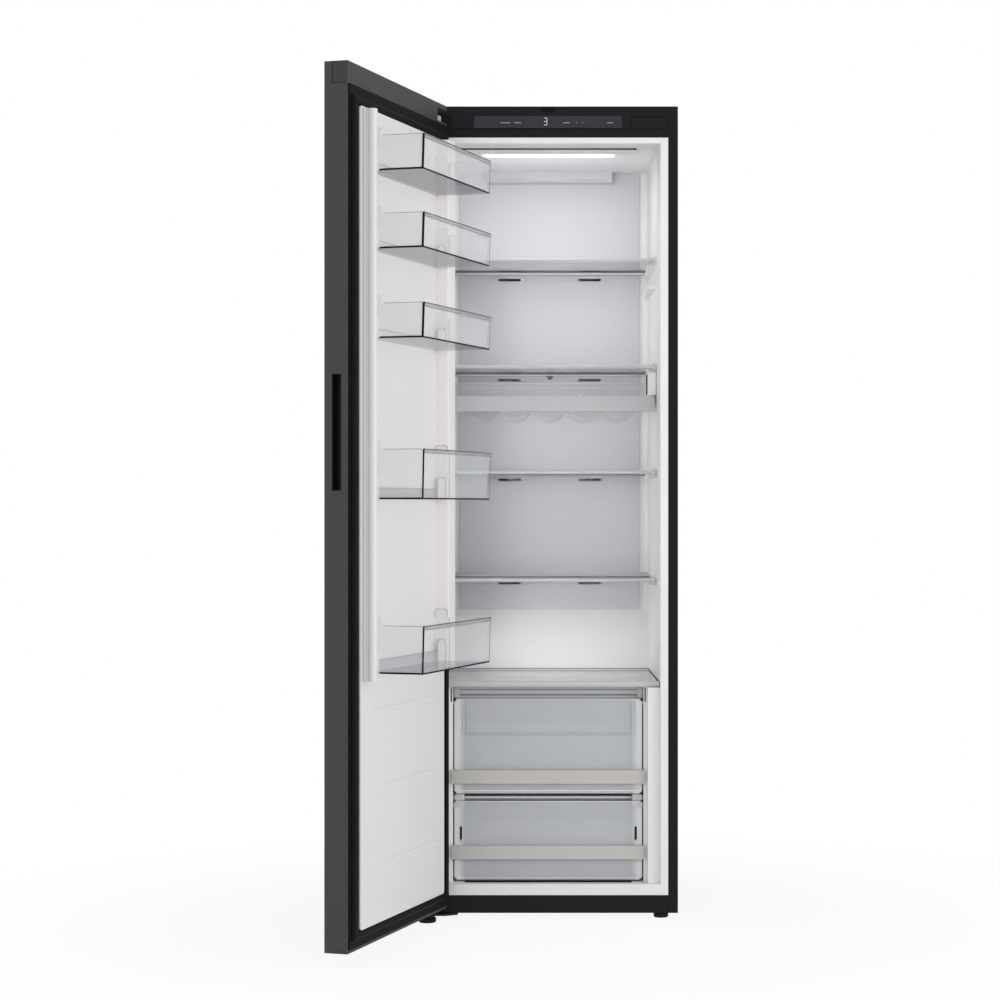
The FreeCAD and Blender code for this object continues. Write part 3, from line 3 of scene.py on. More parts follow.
import bmesh
import bpy
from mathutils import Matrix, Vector


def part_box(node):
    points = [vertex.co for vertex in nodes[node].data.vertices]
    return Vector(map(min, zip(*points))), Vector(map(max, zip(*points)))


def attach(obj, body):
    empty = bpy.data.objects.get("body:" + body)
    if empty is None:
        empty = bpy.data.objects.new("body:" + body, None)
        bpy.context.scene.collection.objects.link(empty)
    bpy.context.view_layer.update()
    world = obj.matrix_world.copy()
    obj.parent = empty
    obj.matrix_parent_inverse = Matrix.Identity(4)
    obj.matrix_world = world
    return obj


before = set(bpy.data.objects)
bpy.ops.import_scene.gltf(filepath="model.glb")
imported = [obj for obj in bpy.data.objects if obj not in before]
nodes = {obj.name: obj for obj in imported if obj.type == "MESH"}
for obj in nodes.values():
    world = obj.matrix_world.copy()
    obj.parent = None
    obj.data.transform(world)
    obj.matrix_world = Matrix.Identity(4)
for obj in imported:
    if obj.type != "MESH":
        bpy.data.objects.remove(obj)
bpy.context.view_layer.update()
perMetre = 1000  # sizes of pieces are in millimetres
print("frame loaded,", len(nodes), "solids")


class Wire:
    # one shader socket; sums on wires add Math nodes
    def __init__(self, tree, socket=None):
        self.tree = tree
        self.socket = socket

    def node(self, kind, settings=None, sockets=None, out=0):
        made = self.tree.nodes.new("ShaderNode" + kind)
        for name, value in (settings or {}).items():
            setattr(made, name, value)
        for name, value in (sockets or {}).items():
            self.plug(made.inputs[name], value)
        return Wire(self.tree, made.outputs[out])

    def plug(self, target, value):
        if isinstance(value, Wire):
            self.tree.links.new(value.socket, target)
        else:
            target.default_value = value

    def maths(self, operation, *values):
        return self.node("Math", {"operation": operation}, dict(enumerate(values)))

    def __add__(self, other):
        return self.maths("ADD", self, other)

    def __radd__(self, other):
        return self.maths("ADD", other, self)

    def __sub__(self, other):
        return self.maths("SUBTRACT", self, other)

    def __rsub__(self, other):
        return self.maths("SUBTRACT", other, self)

    def __mul__(self, other):
        return self.maths("MULTIPLY", self, other)

    def __rmul__(self, other):
        return self.maths("MULTIPLY", other, self)


def paint(code):
    # a colour as it looks on screen, made linear
    parts = [int(code[i:i + 2], 16) / 255 for i in (1, 3, 5)]
    return tuple(c / 12.92 if c <= 0.04045 else ((c + 0.055) / 1.055) ** 2.4 for c in parts)


def dim(tone, share):
    return tuple(c * share for c in tone)


def opaque(value):
    return (*value, 1) if isinstance(value, tuple) and len(value) == 3 else value


def newFinish(name):
    finish = bpy.data.materials.new(name)
    finish.use_nodes = True
    wire = Wire(finish.node_tree)
    shader = finish.node_tree.nodes["Principled BSDF"]
    return finish, shader, wire


def fill(wire, shader, values):
    for name, value in values.items():
        wire.plug(shader.inputs[name], opaque(value))


def ownPlace(wire):
    return wire.node("TexCoord", out="Object")


def speckle(wire, place, scale, detail, rough=0.55):
    sockets = {"Vector": place, "Scale": scale, "Detail": detail, "Roughness": rough}
    return wire.node("TexNoise", None, sockets)


def sway(mask, amount):
    # a mask swung about its middle
    return (mask - 0.5) * amount


def blend(wire, mask, first, second):
    sockets = {0: mask, 6: opaque(first), 7: opaque(second)}
    return wire.node("Mix", {"data_type": "RGBA"}, sockets, out=2)


def bump(wire, height, strength, distance):
    return wire.node("Bump", None, {"Strength": strength, "Distance": distance, "Height": height})


def ramp(wire, value, limits, first=0.0, last=1.0):
    return wire.node("MapRange", None, {0: value, 1: limits[0], 2: limits[1], 3: first, 4: last})


def sideMask(wire, place, limits):
    # grows between two distances left and right of the middle
    across = wire.maths("ABSOLUTE", wire.node("SeparateXYZ", None, {0: place}, out="X"))
    return ramp(wire, across, limits)


mouldedSkin = {"drift": 5, "grain": 1400, "detail": 2, "dim": 0.94, "grainGloss": 0.12,
               "driftGloss": 0.08, "depth": 0.12, "reach": 0.0004, "ior": 1.46, "shine": 0.5}


def moulded(name, look):
    # a moulded plastic: fine spark texture, faint drift of tone and gloss
    s = mouldedSkin
    finish, shader, wire = newFinish(name)
    place = ownPlace(wire)
    drift = speckle(wire, place, s["drift"], s["detail"])
    grain = speckle(wire, place, s["grain"], s["detail"])
    tone = paint(look["tone"])
    fill(wire, shader, {
        "Base Color": blend(wire, drift, dim(tone, s["dim"]), tone),
        "Roughness": look["rough"] + sway(grain, s["grainGloss"]) + sway(drift, s["driftGloss"]),
        "Normal": bump(wire, grain, look.get("depth", s["depth"]), s["reach"]),
        "IOR": s["ior"],
        "Specular IOR Level": look.get("shine", s["shine"]),
    })
    return finish


enamelSkin = {"peel": 420, "peelDetail": 2, "brush": (60, 60, 1.5), "rub": 6, "rubDetail": 4,
              "rubRough": 0.6, "dim": 0.86, "rubGloss": 0.14, "depth": 0.08, "reach": 0.0003,
              "shine": 0.3}


def enamelled(name, look):
    # painted sheet steel: orange peel, a trace of rubbing in the gloss
    s = enamelSkin
    finish, shader, wire = newFinish(name)
    place = ownPlace(wire)
    peel = speckle(wire, place, s["peel"], s["peelDetail"])
    streak = wire.node("Mapping", None, {"Vector": place, "Scale": s["brush"]})
    rub = speckle(wire, streak, s["rub"], s["rubDetail"], s["rubRough"])
    tone = paint(look["tone"])
    fill(wire, shader, {
        "Base Color": blend(wire, rub, dim(tone, s["dim"]), tone),
        "Roughness": look["rough"] + sway(rub, s["rubGloss"]),
        "Normal": bump(wire, peel, s["depth"], s["reach"]),
        "Specular IOR Level": look.get("shine", s["shine"]),
    })
    return finish


metalSkin = {"brush": (4, 260, 260), "lines": 3, "detail": 4, "lineRough": 0.65, "dim": 0.8,
             "lineGloss": 0.2, "depth": 0.1, "reach": 0.0003}


def bareMetal(name, look):
    # plated or plain sheet with fine drawn lines
    s = metalSkin
    finish, shader, wire = newFinish(name)
    pull = wire.node("Mapping", None, {"Vector": ownPlace(wire), "Scale": s["brush"]})
    lines = speckle(wire, pull, s["lines"], s["detail"], s["lineRough"])
    tone = paint(look["tone"])
    fill(wire, shader, {
        "Base Color": blend(wire, lines, dim(tone, s["dim"]), tone),
        "Roughness": look["rough"] + sway(lines, s["lineGloss"]),
        "Metallic": 1.0,
        "Normal": bump(wire, lines, s["depth"], s["reach"]),
    })
    return finish


clearBody = {"flow": 9, "detail": 2, "upright": (0.3, 0.7), "flowCover": 0.03, "flowGloss": 0.04,
             "sideCover": 0.2, "ior": 1.5}


def clear(name, look):
    # clear plastic or glass: one tone and cover on level faces, another on upright ones
    s = clearBody
    finish, shader, wire = newFinish(name)
    place = ownPlace(wire)
    flow = speckle(wire, place, s["flow"], s["detail"])
    facing = wire.node("NewGeometry", out="Normal")
    flat = wire.maths("ABSOLUTE", wire.node("SeparateXYZ", None, {0: facing}, out="Z"))
    edge = ramp(wire, flat, s["upright"], 1.0, 0.0)
    shade = blend(wire, edge, paint(look["tone"]), paint(look["edge"]))
    change = look["edgeAlpha"] - look["alpha"]
    cover = look["alpha"] + edge * change + sway(flow, s["flowCover"])
    if "sides" in look:  # paler strips where the side walls turn away
        strip = sideMask(wire, place, look["sides"])
        shade = blend(wire, strip, shade, paint(look["sideTone"]))
        cover = cover + strip * s["sideCover"]
    fill(wire, shader, {
        "Base Color": shade,
        "Roughness": look["rough"] + sway(flow, s["flowGloss"]),
        "Alpha": cover,
        "IOR": look.get("ior", s["ior"]),
    })
    return finish


rubberSkin = {"dust": 40, "dustDetail": 4, "grain": 1800, "grainDetail": 2, "lift": 1.5,
              "haze": 0.002, "dustGloss": 0.15, "depth": 0.15, "reach": 0.0003}


def softRubber(name, look):
    s = rubberSkin
    finish, shader, wire = newFinish(name)
    place = ownPlace(wire)
    dust = speckle(wire, place, s["dust"], s["dustDetail"])
    grain = speckle(wire, place, s["grain"], s["grainDetail"])
    tone = paint(look["tone"])
    dusty = tuple(c * s["lift"] + s["haze"] for c in tone)
    fill(wire, shader, {
        "Base Color": blend(wire, dust, tone, dusty),
        "Roughness": look["rough"] + sway(dust, s["dustGloss"]),
        "Normal": bump(wire, grain, s["depth"], s["reach"]),
        "Specular IOR Level": look["shine"],
    })
    return finish


foamSkin = {"cells": 700, "cloud": 30, "detail": 4, "dim": 0.8, "rough": 0.85, "cloudGloss": 0.1,
            "depth": 0.4, "reach": 0.001}


def foamed(name, look):
    s = foamSkin
    finish, shader, wire = newFinish(name)
    place = ownPlace(wire)
    cells = wire.node("TexVoronoi", None, {"Vector": place, "Scale": s["cells"]}, out="Distance")
    cloud = speckle(wire, place, s["cloud"], s["detail"])
    tone = paint(look["tone"])
    fill(wire, shader, {
        "Base Color": blend(wire, cloud, dim(tone, s["dim"]), tone),
        "Roughness": s["rough"] + sway(cloud, s["cloudGloss"]),
        "Normal": bump(wire, cells, s["depth"], s["reach"]),
    })
    return finish


litSkin = {"ripple": 220, "detail": 2, "dim": 0.94, "endDim": 0.2, "rough": 0.4, "rippleGloss": 0.1}


def lit(name, look):
    s = litSkin
    finish, shader, wire = newFinish(name)
    place = ownPlace(wire)
    ripple = speckle(wire, place, s["ripple"], s["detail"])
    tone = paint(look["tone"])
    glow = tone
    if "fade" in look:  # dimmer towards both ends
        glow = blend(wire, sideMask(wire, place, look["fade"]), tone, dim(tone, s["endDim"]))
    fill(wire, shader, {
        "Base Color": blend(wire, ripple, dim(tone, s["dim"]), tone),
        "Roughness": s["rough"] + sway(ripple, s["rippleGloss"]),
        "Emission Color": glow,
        "Emission Strength": look["glow"],
    })
    return finish


linerSkin = {"cloud": 4, "cloudDetail": 3, "skin": 900, "skinDetail": 2, "dim": 0.96,
             "cloudGloss": 0.12, "depth": 0.05, "reach": 0.0003, "ior": 1.48}


def linerFinish(name, look):
    # vacuum-formed sheet: soft gloss, slight thinning clouds
    s = linerSkin
    finish, shader, wire = newFinish(name)
    place = ownPlace(wire)
    cloud = speckle(wire, place, s["cloud"], s["cloudDetail"])
    skin = speckle(wire, place, s["skin"], s["skinDetail"])
    tone = paint(look["tone"])
    fill(wire, shader, {
        "Base Color": blend(wire, cloud, dim(tone, s["dim"]), tone),
        "Roughness": look["rough"] + sway(cloud, s["cloudGloss"]),
        "Normal": bump(wire, skin, s["depth"], s["reach"]),
        "IOR": s["ior"],
    })
    return finish


looks = {
    "cabinetSteel": (enamelled, {"tone": "#1d1f22", "rough": 0.46, "shine": 0.2}),
    "flangeSteel": (enamelled, {"tone": "#16181b", "rough": 0.5, "shine": 0.15}),
    "doorSteel": (enamelled, {"tone": "#4b4849", "rough": 0.5, "shine": 0.15}),
    "backSteel": (enamelled, {"tone": "#55585a", "rough": 0.5}),
    "zincSteel": (bareMetal, {"tone": "#b9bcbd", "rough": 0.34}),
    "finMetal": (bareMetal, {"tone": "#c9ccce", "rough": 0.38}),
    "blackMachine": (enamelled, {"tone": "#101113", "rough": 0.38, "shine": 0.25}),
    "darkPlastic": (moulded, {"tone": "#1a1c1f", "rough": 0.5, "shine": 0.15}),
    "capPlastic": (moulded, {"tone": "#464345", "rough": 0.52, "shine": 0.15}),
    "displayGloss": (moulded, {"tone": "#2d3034", "rough": 0.2, "depth": 0.02, "shine": 0.3}),
    "linerWhite": (linerFinish, {"tone": "#efeeef", "rough": 0.42}),
    "doorWhite": (linerFinish, {"tone": "#e9e6e7", "rough": 0.42}),
    "ductGrey": (linerFinish, {"tone": "#d0d0d3", "rough": 0.45}),
    "trimGrey": (moulded, {"tone": "#c9cbcd", "rough": 0.3, "depth": 0.05}),
    "rackGrey": (moulded, {"tone": "#bcbcbe", "rough": 0.4, "depth": 0.05}),
    "gripBeige": (moulded, {"tone": "#c6c3bf", "rough": 0.4}),
    "lampGlow": (lit, {"tone": "#ffffff", "glow": 1.4, "fade": (0.12, 0.157)}),
    "sheetGlass": (clear, {"tone": "#969c9f", "edge": "#8f9d9b", "rough": 0.08, "alpha": 0.38,
                           "edgeAlpha": 0.75}),
    "coverGlass": (clear, {"tone": "#d6d9db", "edge": "#8f9d9b", "rough": 0.1, "alpha": 0.82,
                           "edgeAlpha": 0.85}),
    "binClear": (clear, {"tone": "#757c7f", "edge": "#d3d6d8", "rough": 0.1, "alpha": 0.76,
                         "edgeAlpha": 0.2, "ior": 1.3}),
    "binClearLow": (clear, {"tone": "#757c7f", "edge": "#d6dadc", "rough": 0.1, "alpha": 0.76,
                            "edgeAlpha": 0.14, "ior": 1.3}),
    "drawerClear": (clear, {"tone": "#ced1d6", "edge": "#d8dbdf", "rough": 0.25, "alpha": 0.6,
                            "edgeAlpha": 0.58, "sides": (0.192, 0.207), "sideTone": "#f2f5f6"}),
    "rackClear": (clear, {"tone": "#d8dadc", "edge": "#d8dadc", "rough": 0.35, "alpha": 0.14,
                          "edgeAlpha": 0.14, "ior": 1.2}),
    "sealRubber": (softRubber, {"tone": "#131315", "rough": 0.62, "shine": 0.05}),
    "foam": (foamed, {"tone": "#d9cc9c"}),
    "board": (moulded, {"tone": "#1d5a36", "rough": 0.4}),
    "edgeDark": (moulded, {"tone": "#121314", "rough": 0.45, "shine": 0.05}),
    "edgeGrey": (moulded, {"tone": "#7f8386", "rough": 0.35}),
    "rimGrey": (clear, {"tone": "#9b9fa2", "edge": "#9b9fa2", "rough": 0.2, "alpha": 0.4,
                        "edgeAlpha": 0.4}),
    "markLight": (lit, {"tone": "#969b9f", "glow": 0.06}),
    "digitLight": (lit, {"tone": "#c6cbcf", "glow": 0.3}),
    "stopClear": (clear, {"tone": "#dcdedf", "edge": "#dcdedf", "rough": 0.3, "alpha": 0.75,
                          "edgeAlpha": 0.75}),
    "stopPlate": (enamelled, {"tone": "#c9cbcd", "rough": 0.4}),
    "shadeGrey": (clear, {"tone": "#b4b4b8", "edge": "#b4b4b8", "rough": 0.4, "alpha": 0.16,
                          "edgeAlpha": 0.16}),
    "edgeClear": (clear, {"tone": "#aeb3ba", "edge": "#aeb3ba", "rough": 0.15, "alpha": 0.16,
                          "edgeAlpha": 0.16}),
}
finishes = {name: maker(name, look) for name, (maker, look) in looks.items()}

dressed = {
    "side_panels": "cabinetSteel", "top_panel": "cabinetSteel", "back_panel": "backSteel",
    "rear_cover": "backSteel", "front_flange": "flangeSteel", "plinth": "darkPlastic",
    "base_plate": "zincSteel", "inner_liner": "linerWhite", "insulation_foam": "foam",
    "control_housing": "darkPlastic", "control_display": "displayGloss",
    "hinge_blank_cover": "darkPlastic", "control_board": "board", "duct_panel": "ductGrey",
    "lamp_cover": "linerWhite", "led_strip": "lampGlow", "shelf_trims": "trimGrey",
    "crisper_cover_glass": "coverGlass", "crisper_cover_frame": "trimGrey",
    "drawer_guides": "linerWhite", "rack_hangers": "linerWhite", "top_hinge": "darkPlastic",
    "bottom_hinge": "blackMachine", "roller_axles": "zincSteel", "compressor": "blackMachine",
    "condenser": "blackMachine", "fan_bracket": "darkPlastic", "drain_pan": "darkPlastic",
    "evaporator": "finMetal", "power_inlet": "darkPlastic", "condenser_fan": "darkPlastic",
    "evaporator_fan": "linerWhite", "foot_left": "darkPlastic", "foot_right": "darkPlastic",
    "rear_roller_left": "sealRubber", "rear_roller_right": "sealRubber",
    "door_front_panel": "doorSteel", "door_top_cap": "capPlastic", "door_bottom_cap": "capPlastic",
    "door_foam": "foam", "door_liner": "doorWhite", "door_gasket": "sealRubber",
    "handle_insert": "darkPlastic", "hinge_bushes": "linerWhite",
    "upper_drawer_bin": "drawerClear", "upper_drawer_handle": "gripBeige",
    "lower_drawer_bin": "drawerClear", "lower_drawer_handle": "gripBeige",
    "rack_tray": "rackClear", "rack_front_band": "rackGrey",
}
binFinish = {1: "binClear", 2: "binClear", 3: "binClear", 4: "binClearLow", 5: "binClearLow"}
for i, finish in binFinish.items():
    dressed[f"door_bin_{i}"] = finish
    nodes[f"door_bin_{i}"].visible_shadow = False  # clear walls throw next to no shade on the lining
    nodes[f"door_bin_{i}"].visible_diffuse = False
for i in range(1, 5):
    dressed[f"shelf_{i}_glass"] = "sheetGlass"

for name, finish in dressed.items():
    piece = nodes[name]
    piece.data.materials.clear()
    piece.data.materials.append(finishes[finish])
print("finishes on", len(dressed), "solids")


def inRoom(x, y, z):
    return Vector((x, y, z)) / perMetre


doorPose = {"open": 107, "pin": (24, -38), "axis": (-273.5, -50)}


def onDoor(u, v, z):
    # millimetres on the shut door to metres in the shared frame, with the door swung open
    turn = math.radians(doorPose["open"])
    along, out = u - doorPose["pin"][0], v - doorPose["pin"][1]
    x = doorPose["axis"][0] + along * math.cos(turn) + out * math.sin(turn)
    y = doorPose["axis"][1] - along * math.sin(turn) + out * math.cos(turn)
    return inRoom(x, y, z)


doorOut = (onDoor(0, 1, 0) - onDoor(0, 0, 0)).normalized()


def newMesh(name, points, faces):
    mesh = bpy.data.meshes.new(name)
    mesh.from_pydata(points, [], faces)
    return mesh


def newPiece(mesh, finish):
    piece = bpy.data.objects.new(mesh.name, mesh)
    bpy.context.scene.collection.objects.link(piece)
    mesh.materials.append(finishes[finish])
    return piece


barForm = {"steep": 0.9, "softShare": 0.25, "segments": 2,
           "sides": ((0, 3, 2, 1), (4, 5, 6, 7), (0, 1, 5, 4), (1, 2, 6, 5), (2, 3, 7, 6),
                     (3, 0, 4, 7))}


def bars(name, body, finish, rows, up=None):
    # soft-edged bars from point to point, each with its width and height in millimetres
    points, faces = [], []
    for start, end, wide, tall in rows:
        way = (end - start).normalized()
        usual = Vector((0, 0, 1)) if abs(way.z) < barForm["steep"] else Vector((0, 1, 0))
        side = way.cross(up or usual).normalized()
        over = side.cross(way).normalized()
        side, over = side * wide / (2 * perMetre), over * tall / (2 * perMetre)
        first = len(points)
        for at in (start, end):
            points += [at - side - over, at + side - over, at + side + over, at - side + over]
        faces += [[first + k for k in corner] for corner in barForm["sides"]]
    piece = newPiece(newMesh(name, points, faces), finish)
    soft = piece.modifiers.new("soft", "BEVEL")
    soft.width = min(min(row[2:]) for row in rows) * barForm["softShare"] / perMetre
    soft.segments = barForm["segments"]
    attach(piece, body)


def level(x0, x1, y, z, wide, tall):
    # a row for bars: a level bar in the cabinet
    return inRoom(x0, y, z), inRoom(x1, y, z), wide, tall


def upright(x, y, low, high, wide, tall):
    return inRoom(x, y, low), inRoom(x, y, high), wide, tall


def doorBar(first, second, wide, tall):
    return onDoor(*first), onDoor(*second), wide, tall


# in these dictionaries a name ending in Bar gives a bar's width and height
binEdges = {
    "near": 523.5, "far": 104, "back": 51, "front": 137,  # feet of the walls
    "nearTop": 525.5, "farTop": 102.5, "frontTop": 139.5,  # the rim
    "neck": 519, "neckBack": 40.5, "ear": 18,
    "baseRise": 1.8, "baseBar": (2.8, 3.6), "footRise": 1.5, "footBar": (2.2, 3.0),
    "postIn": 1, "postWide": {1: 4.6, 2: 4.6, 3: 4.6, 4: 3.4, 5: 3.4}, "postDeep": 4.0,
    "rimOut": 1, "rimBar": (1.6, 1.8), "farBar": (1.4, 1.4), "sideBar": (1.2, 1.2),
    "foldDrop": 8, "foldBar": (1.0, 1.0),
    "inside": 114.6, "innerBar": (1.1, 1.1), "step": 47, "stepRise": 2,
    "arch": ((19, 0), (19, 41.5), (21.5, 47), (29, 51), (36.5, 47), (39, 41.5), (39, 0)),
    "earLine": ((13, 0), (13, 14), (18, 18), (38, 18), (43, 14), (43, 0)), "eared": (4, 5),
    "wallNear": 516, "wallFar": 115, "wallBack": 15, "wallTall": 24,
    "shadeOut": 0.8, "shadeThick": 0.6, "shaded": (4, 5),
    "bandOut": 1.6, "bandThick": 0.6, "bandTall": 8,
}


def makeBinEdges():
    b = binEdges
    near, far, back, front = b["near"], b["far"], b["back"], b["front"]
    nearTop, farTop, frontTop = b["nearTop"], b["farTop"], b["frontTop"]
    rimFar, rimFront, bandFront = farTop - b["rimOut"], frontTop + b["rimOut"], frontTop + b["bandOut"]
    postNear, postFront = near - b["postIn"], front - b["postIn"]
    inside, step = b["inside"], b["step"]
    wallNear, wallFar, wallBack, wallTall = b["wallNear"], b["wallFar"], b["wallBack"], b["wallTall"]
    for i in binFinish:
        name = f"door_bin_{i}"
        lowest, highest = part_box(name)
        low, high = lowest.z * perMetre, highest.z * perMetre - b["ear"]
        base, foot, fold = low + b["baseRise"], low + b["footRise"], high - b["foldDrop"]
        post = (b["postWide"][i], b["postDeep"])
        bars(f"binEdges{i}", name, "edgeDark", [
            doorBar((b["neck"], b["neckBack"], base), (near, back, base), *b["baseBar"]),
            doorBar((near, back, base), (near, front, base), *b["baseBar"]),
            doorBar((near, front, foot), (far, front, foot), *b["footBar"]),
            doorBar((postNear, postFront, low), (nearTop, frontTop, high), *post),
            doorBar((nearTop, rimFront, high), (rimFar, rimFront, high), *b["rimBar"]),
        ])
        bars(f"binLines{i}", name, "edgeGrey", [
            doorBar((far, front, low), (farTop, frontTop, high), *b["farBar"]),
            doorBar((nearTop, rimFront, fold), (rimFar, rimFront, fold), *b["foldBar"]),
            doorBar((nearTop, back, high), (nearTop, frontTop, high), *b["sideBar"]),
        ])
        # on the bin's inner faces: arch over the boss, ear of the deep bins, neck step, low rear wall
        paths = [[(v, low + rise) for v, rise in b["arch"]]]
        if i in b["eared"]:
            paths.append([(v, high + rise) for v, rise in b["earLine"]])
        paths.append([(step, low + b["stepRise"]), (step, high)])
        rows = []
        for path in paths:
            for first, second in zip(path, path[1:]):
                rows.append(doorBar((inside, *first), (inside, *second), *b["innerBar"]))
        top, middle = low + wallTall, low + wallTall / 2
        rows.append(doorBar((wallNear, wallBack, top), (wallFar, wallBack, top), *b["innerBar"]))
        bars(f"binInner{i}", name, "edgeGrey", rows)
        # painted shade: a grey translucent sheet on the low rear wall of the deep bins
        if i in b["shaded"]:
            v = wallBack + b["shadeOut"]
            bars(f"binBackPaintedShade{i}", name, "edgeClear", [
                doorBar((wallNear, v, middle), (wallFar, v, middle), b["shadeThick"], wallTall)])
        z = high - b["bandTall"] / 2
        bars(f"binRim{i}", name, "rimGrey", [
            doorBar((nearTop, bandFront, z), (rimFar, bandFront, z), b["bandThick"], b["bandTall"])])


lampGap = {"half": 204, "y": 77.4, "z": 1773.2, "gapBar": (1.2, 3.4)}


def makeLampGap():
    # dark joint between the ceiling and the front of the lamp plate
    g = lampGap
    bars("lampGap", "cabinet", "edgeDark", [level(-g["half"], g["half"], g["y"], g["z"], *g["gapBar"])])


panelMarks = {"face": -0.6, "deep": 0.3,
              "digitX": -6, "digitZ": 1825, "wide": 6.5, "tall": 8, "thin": 1.3,
              "dashes": ((-98, 22), (-70, 16), (42, 15), (72, 12), (72, 16), (142, 14)),
              "dashZ": 1822, "dashTall": 1.6}


def makePanelMarks():
    # one plain digit and a few dashes on the display
    m = panelMarks
    face, deep = m["face"], m["deep"]
    x0, x1 = m["digitX"] - m["wide"] / 2, m["digitX"] + m["wide"] / 2
    low, high = m["digitZ"] - m["tall"], m["digitZ"] + m["tall"]
    rows = [level(x0, x1, face, z, deep, m["thin"]) for z in (low, m["digitZ"], high)]
    rows.append(upright(x1, face, low, high, m["thin"], deep))
    bars("panelDigit", "cabinet", "digitLight", rows)
    bars("panelMarks", "cabinet", "markLight", [
        level(x - long / 2, x + long / 2, face, m["dashZ"], deep, m["dashTall"])
        for x, long in m["dashes"]])


headSeams = {"left": -227, "right": 276, "face": 0, "foot": 1808, "thick": 0.6, "wide": 1.6,
             "coverLeft": 189.3, "coverTop": 1835.7,
             "catchHalf": 16, "catchZ": 1851.4, "catchTall": 9}


def makeHeadSeams():
    # joint under the head, outline of the blank hinge cover, catch at the top middle
    h = headSeams
    face, foot, top, thick, wide = h["face"], h["foot"], h["coverTop"], h["thick"], h["wide"]
    bars("headSeams", "cabinet", "edgeDark", [
        level(h["left"], h["right"], face, foot, thick, wide),
        level(h["coverLeft"], h["right"], face, top, thick, wide),
        upright(h["coverLeft"], face, foot, top, wide, thick),
        upright(h["right"], face, foot, top, wide, thick),
        level(-h["catchHalf"], h["catchHalf"], face, h["catchZ"], thick, h["catchTall"]),
    ])


drawerLines = {
    "face": 39.7, "posts": (-198, -191, 199, 191), "postBar": (0.9, 0.4), "top": 492,
    "feet": (416, 421), "footLeft": -186, "footRight": 187, "footBar": (0.4, 0.9),
    "lips": {"upper_drawer": 287.5, "lower_drawer": 86.5}, "lipHalf": 211, "lipBar": (0.8, 2.2),
    "rims": {"upper_drawer": 498.8, "lower_drawer": 262.8},
    "rimHalf": 213, "rimY": 43, "rimBar": (6, 1.6),
    "vents": (-201.3, 202.3), "ventLow": 176, "ventHigh": 205, "ventBar": (4.2, 0.8),
    # the shadow keys place the dark painted shadow strip under the lower drawer
    "shadowHalf": 192, "shadowY": 31, "shadowZ": 79.6, "shadowBar": (8, 3),
}


def makeDrawerLines():
    # frame lines, lips, rims and vents of the drawers, and a dark painted shadow strip under the lower
    # one
    d = drawerLines
    face, lipHalf, rimHalf, shadowHalf = d["face"], d["lipHalf"], d["rimHalf"], d["shadowHalf"]
    rows = [upright(x, face, d["feet"][0], d["top"], *d["postBar"]) for x in d["posts"]]
    rows += [level(d["footLeft"], d["footRight"], face, z, *d["footBar"]) for z in d["feet"]]
    bars("drawerFrameLines", "upper_drawer", "rimGrey", rows)
    for body, z in d["lips"].items():
        bars(f"{body}Lip", body, "linerWhite", [level(-lipHalf, lipHalf, face, z, *d["lipBar"])])
    for body, z in d["rims"].items():
        bars(f"{body}Rim", body, "linerWhite", [level(-rimHalf, rimHalf, d["rimY"], z, *d["rimBar"])])
    bars("drawerVents", "lower_drawer", "edgeDark", [
        upright(x, face, d["ventLow"], d["ventHigh"], *d["ventBar"]) for x in d["vents"]])
    # painted shadow: a dark strip in the gap under the lower drawer
    bars("drawerPaintedShadow", "cabinet", "edgeDark", [
        level(-shadowHalf, shadowHalf, d["shadowY"], d["shadowZ"], *d["shadowBar"])])


railEnds = {"inner": 193, "outer": 217, "front": 42, "back": 58, "low": 263.2, "high": 279.6,
            "shadeLineY": 57.6, "shadeLineZ": 266.4, "shadeLineBar": (1, 2.6),
            "cornerY": 39.3, "cornerTop": 261.6, "cornerDrop": 16, "cornerThick": 0.9, "steps": 12}


def makeRailEnds():
    # pale stops at the ends of the rail, a painted shade line low on the rail's face, and the rounded
    # corners under them on the lower drawer
    r = railEnds
    inner, outer, y, top = r["inner"], r["outer"], r["cornerY"], r["cornerTop"]
    middle, deep = (r["front"] + r["back"]) / 2, r["back"] - r["front"]
    height, tall = (r["low"] + r["high"]) / 2, r["high"] - r["low"]
    bars("railStops", "cabinet", "stopClear", [
        level(s * inner, s * outer, middle, height, deep, tall) for s in (-1, 1)])
    # painted shade: a grey line low on the recessed rail, where it lies in shade
    bars("railShadeLine", "cabinet", "edgeGrey", [
        level(-inner, inner, r["shadeLineY"], r["shadeLineZ"], *r["shadeLineBar"])])
    for s, side in ((-1, "Left"), (1, "Right")):
        shape = bmesh.new()
        rim = [shape.verts.new(inRoom(s * outer, y, top))]
        for k in range(r["steps"] + 1):
            turn = math.radians(k * 90 / r["steps"])
            x = s * (outer - (outer - inner) * math.cos(turn))
            rim.append(shape.verts.new(inRoom(x, y, top - r["cornerDrop"] * math.sin(turn))))
        face = shape.faces.new(rim)
        grown = bmesh.ops.extrude_face_region(shape, geom=[face])
        for vert in (v for v in grown["geom"] if isinstance(v, bmesh.types.BMVert)):
            vert.co.y += r["cornerThick"] / perMetre
        bmesh.ops.recalc_face_normals(shape, faces=shape.faces[:])
        mesh = bpy.data.meshes.new(f"drawerCorner{side}")
        shape.to_mesh(mesh)
        shape.free()
        piece = newPiece(mesh, "stopClear")
        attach(piece, "lower_drawer")


crisper = {
    "half": 205, "face": 57.4, "lines": ((519, 1.6), (507.5, 3.5)), "lineDeep": 1,
    "post": 223.5, "postY": 39.5, "postLow": 492, "postHigh": 524, "postBar": (2.4, 1),
    "endIn": 206, "endOut": 218.5, "endY": 56, "endZ": 513, "endBar": (5, 25),
    "rearHalf": 248.5, "rearY": 432.4, "rearTop": 543.4, "rearBar": (2.4, 1.2),
    "paneRear": (246.2, 428), "paneFront": (251.6, 33), "paneTop": 540.3, "paneBar": (1.4, 0.8),
}


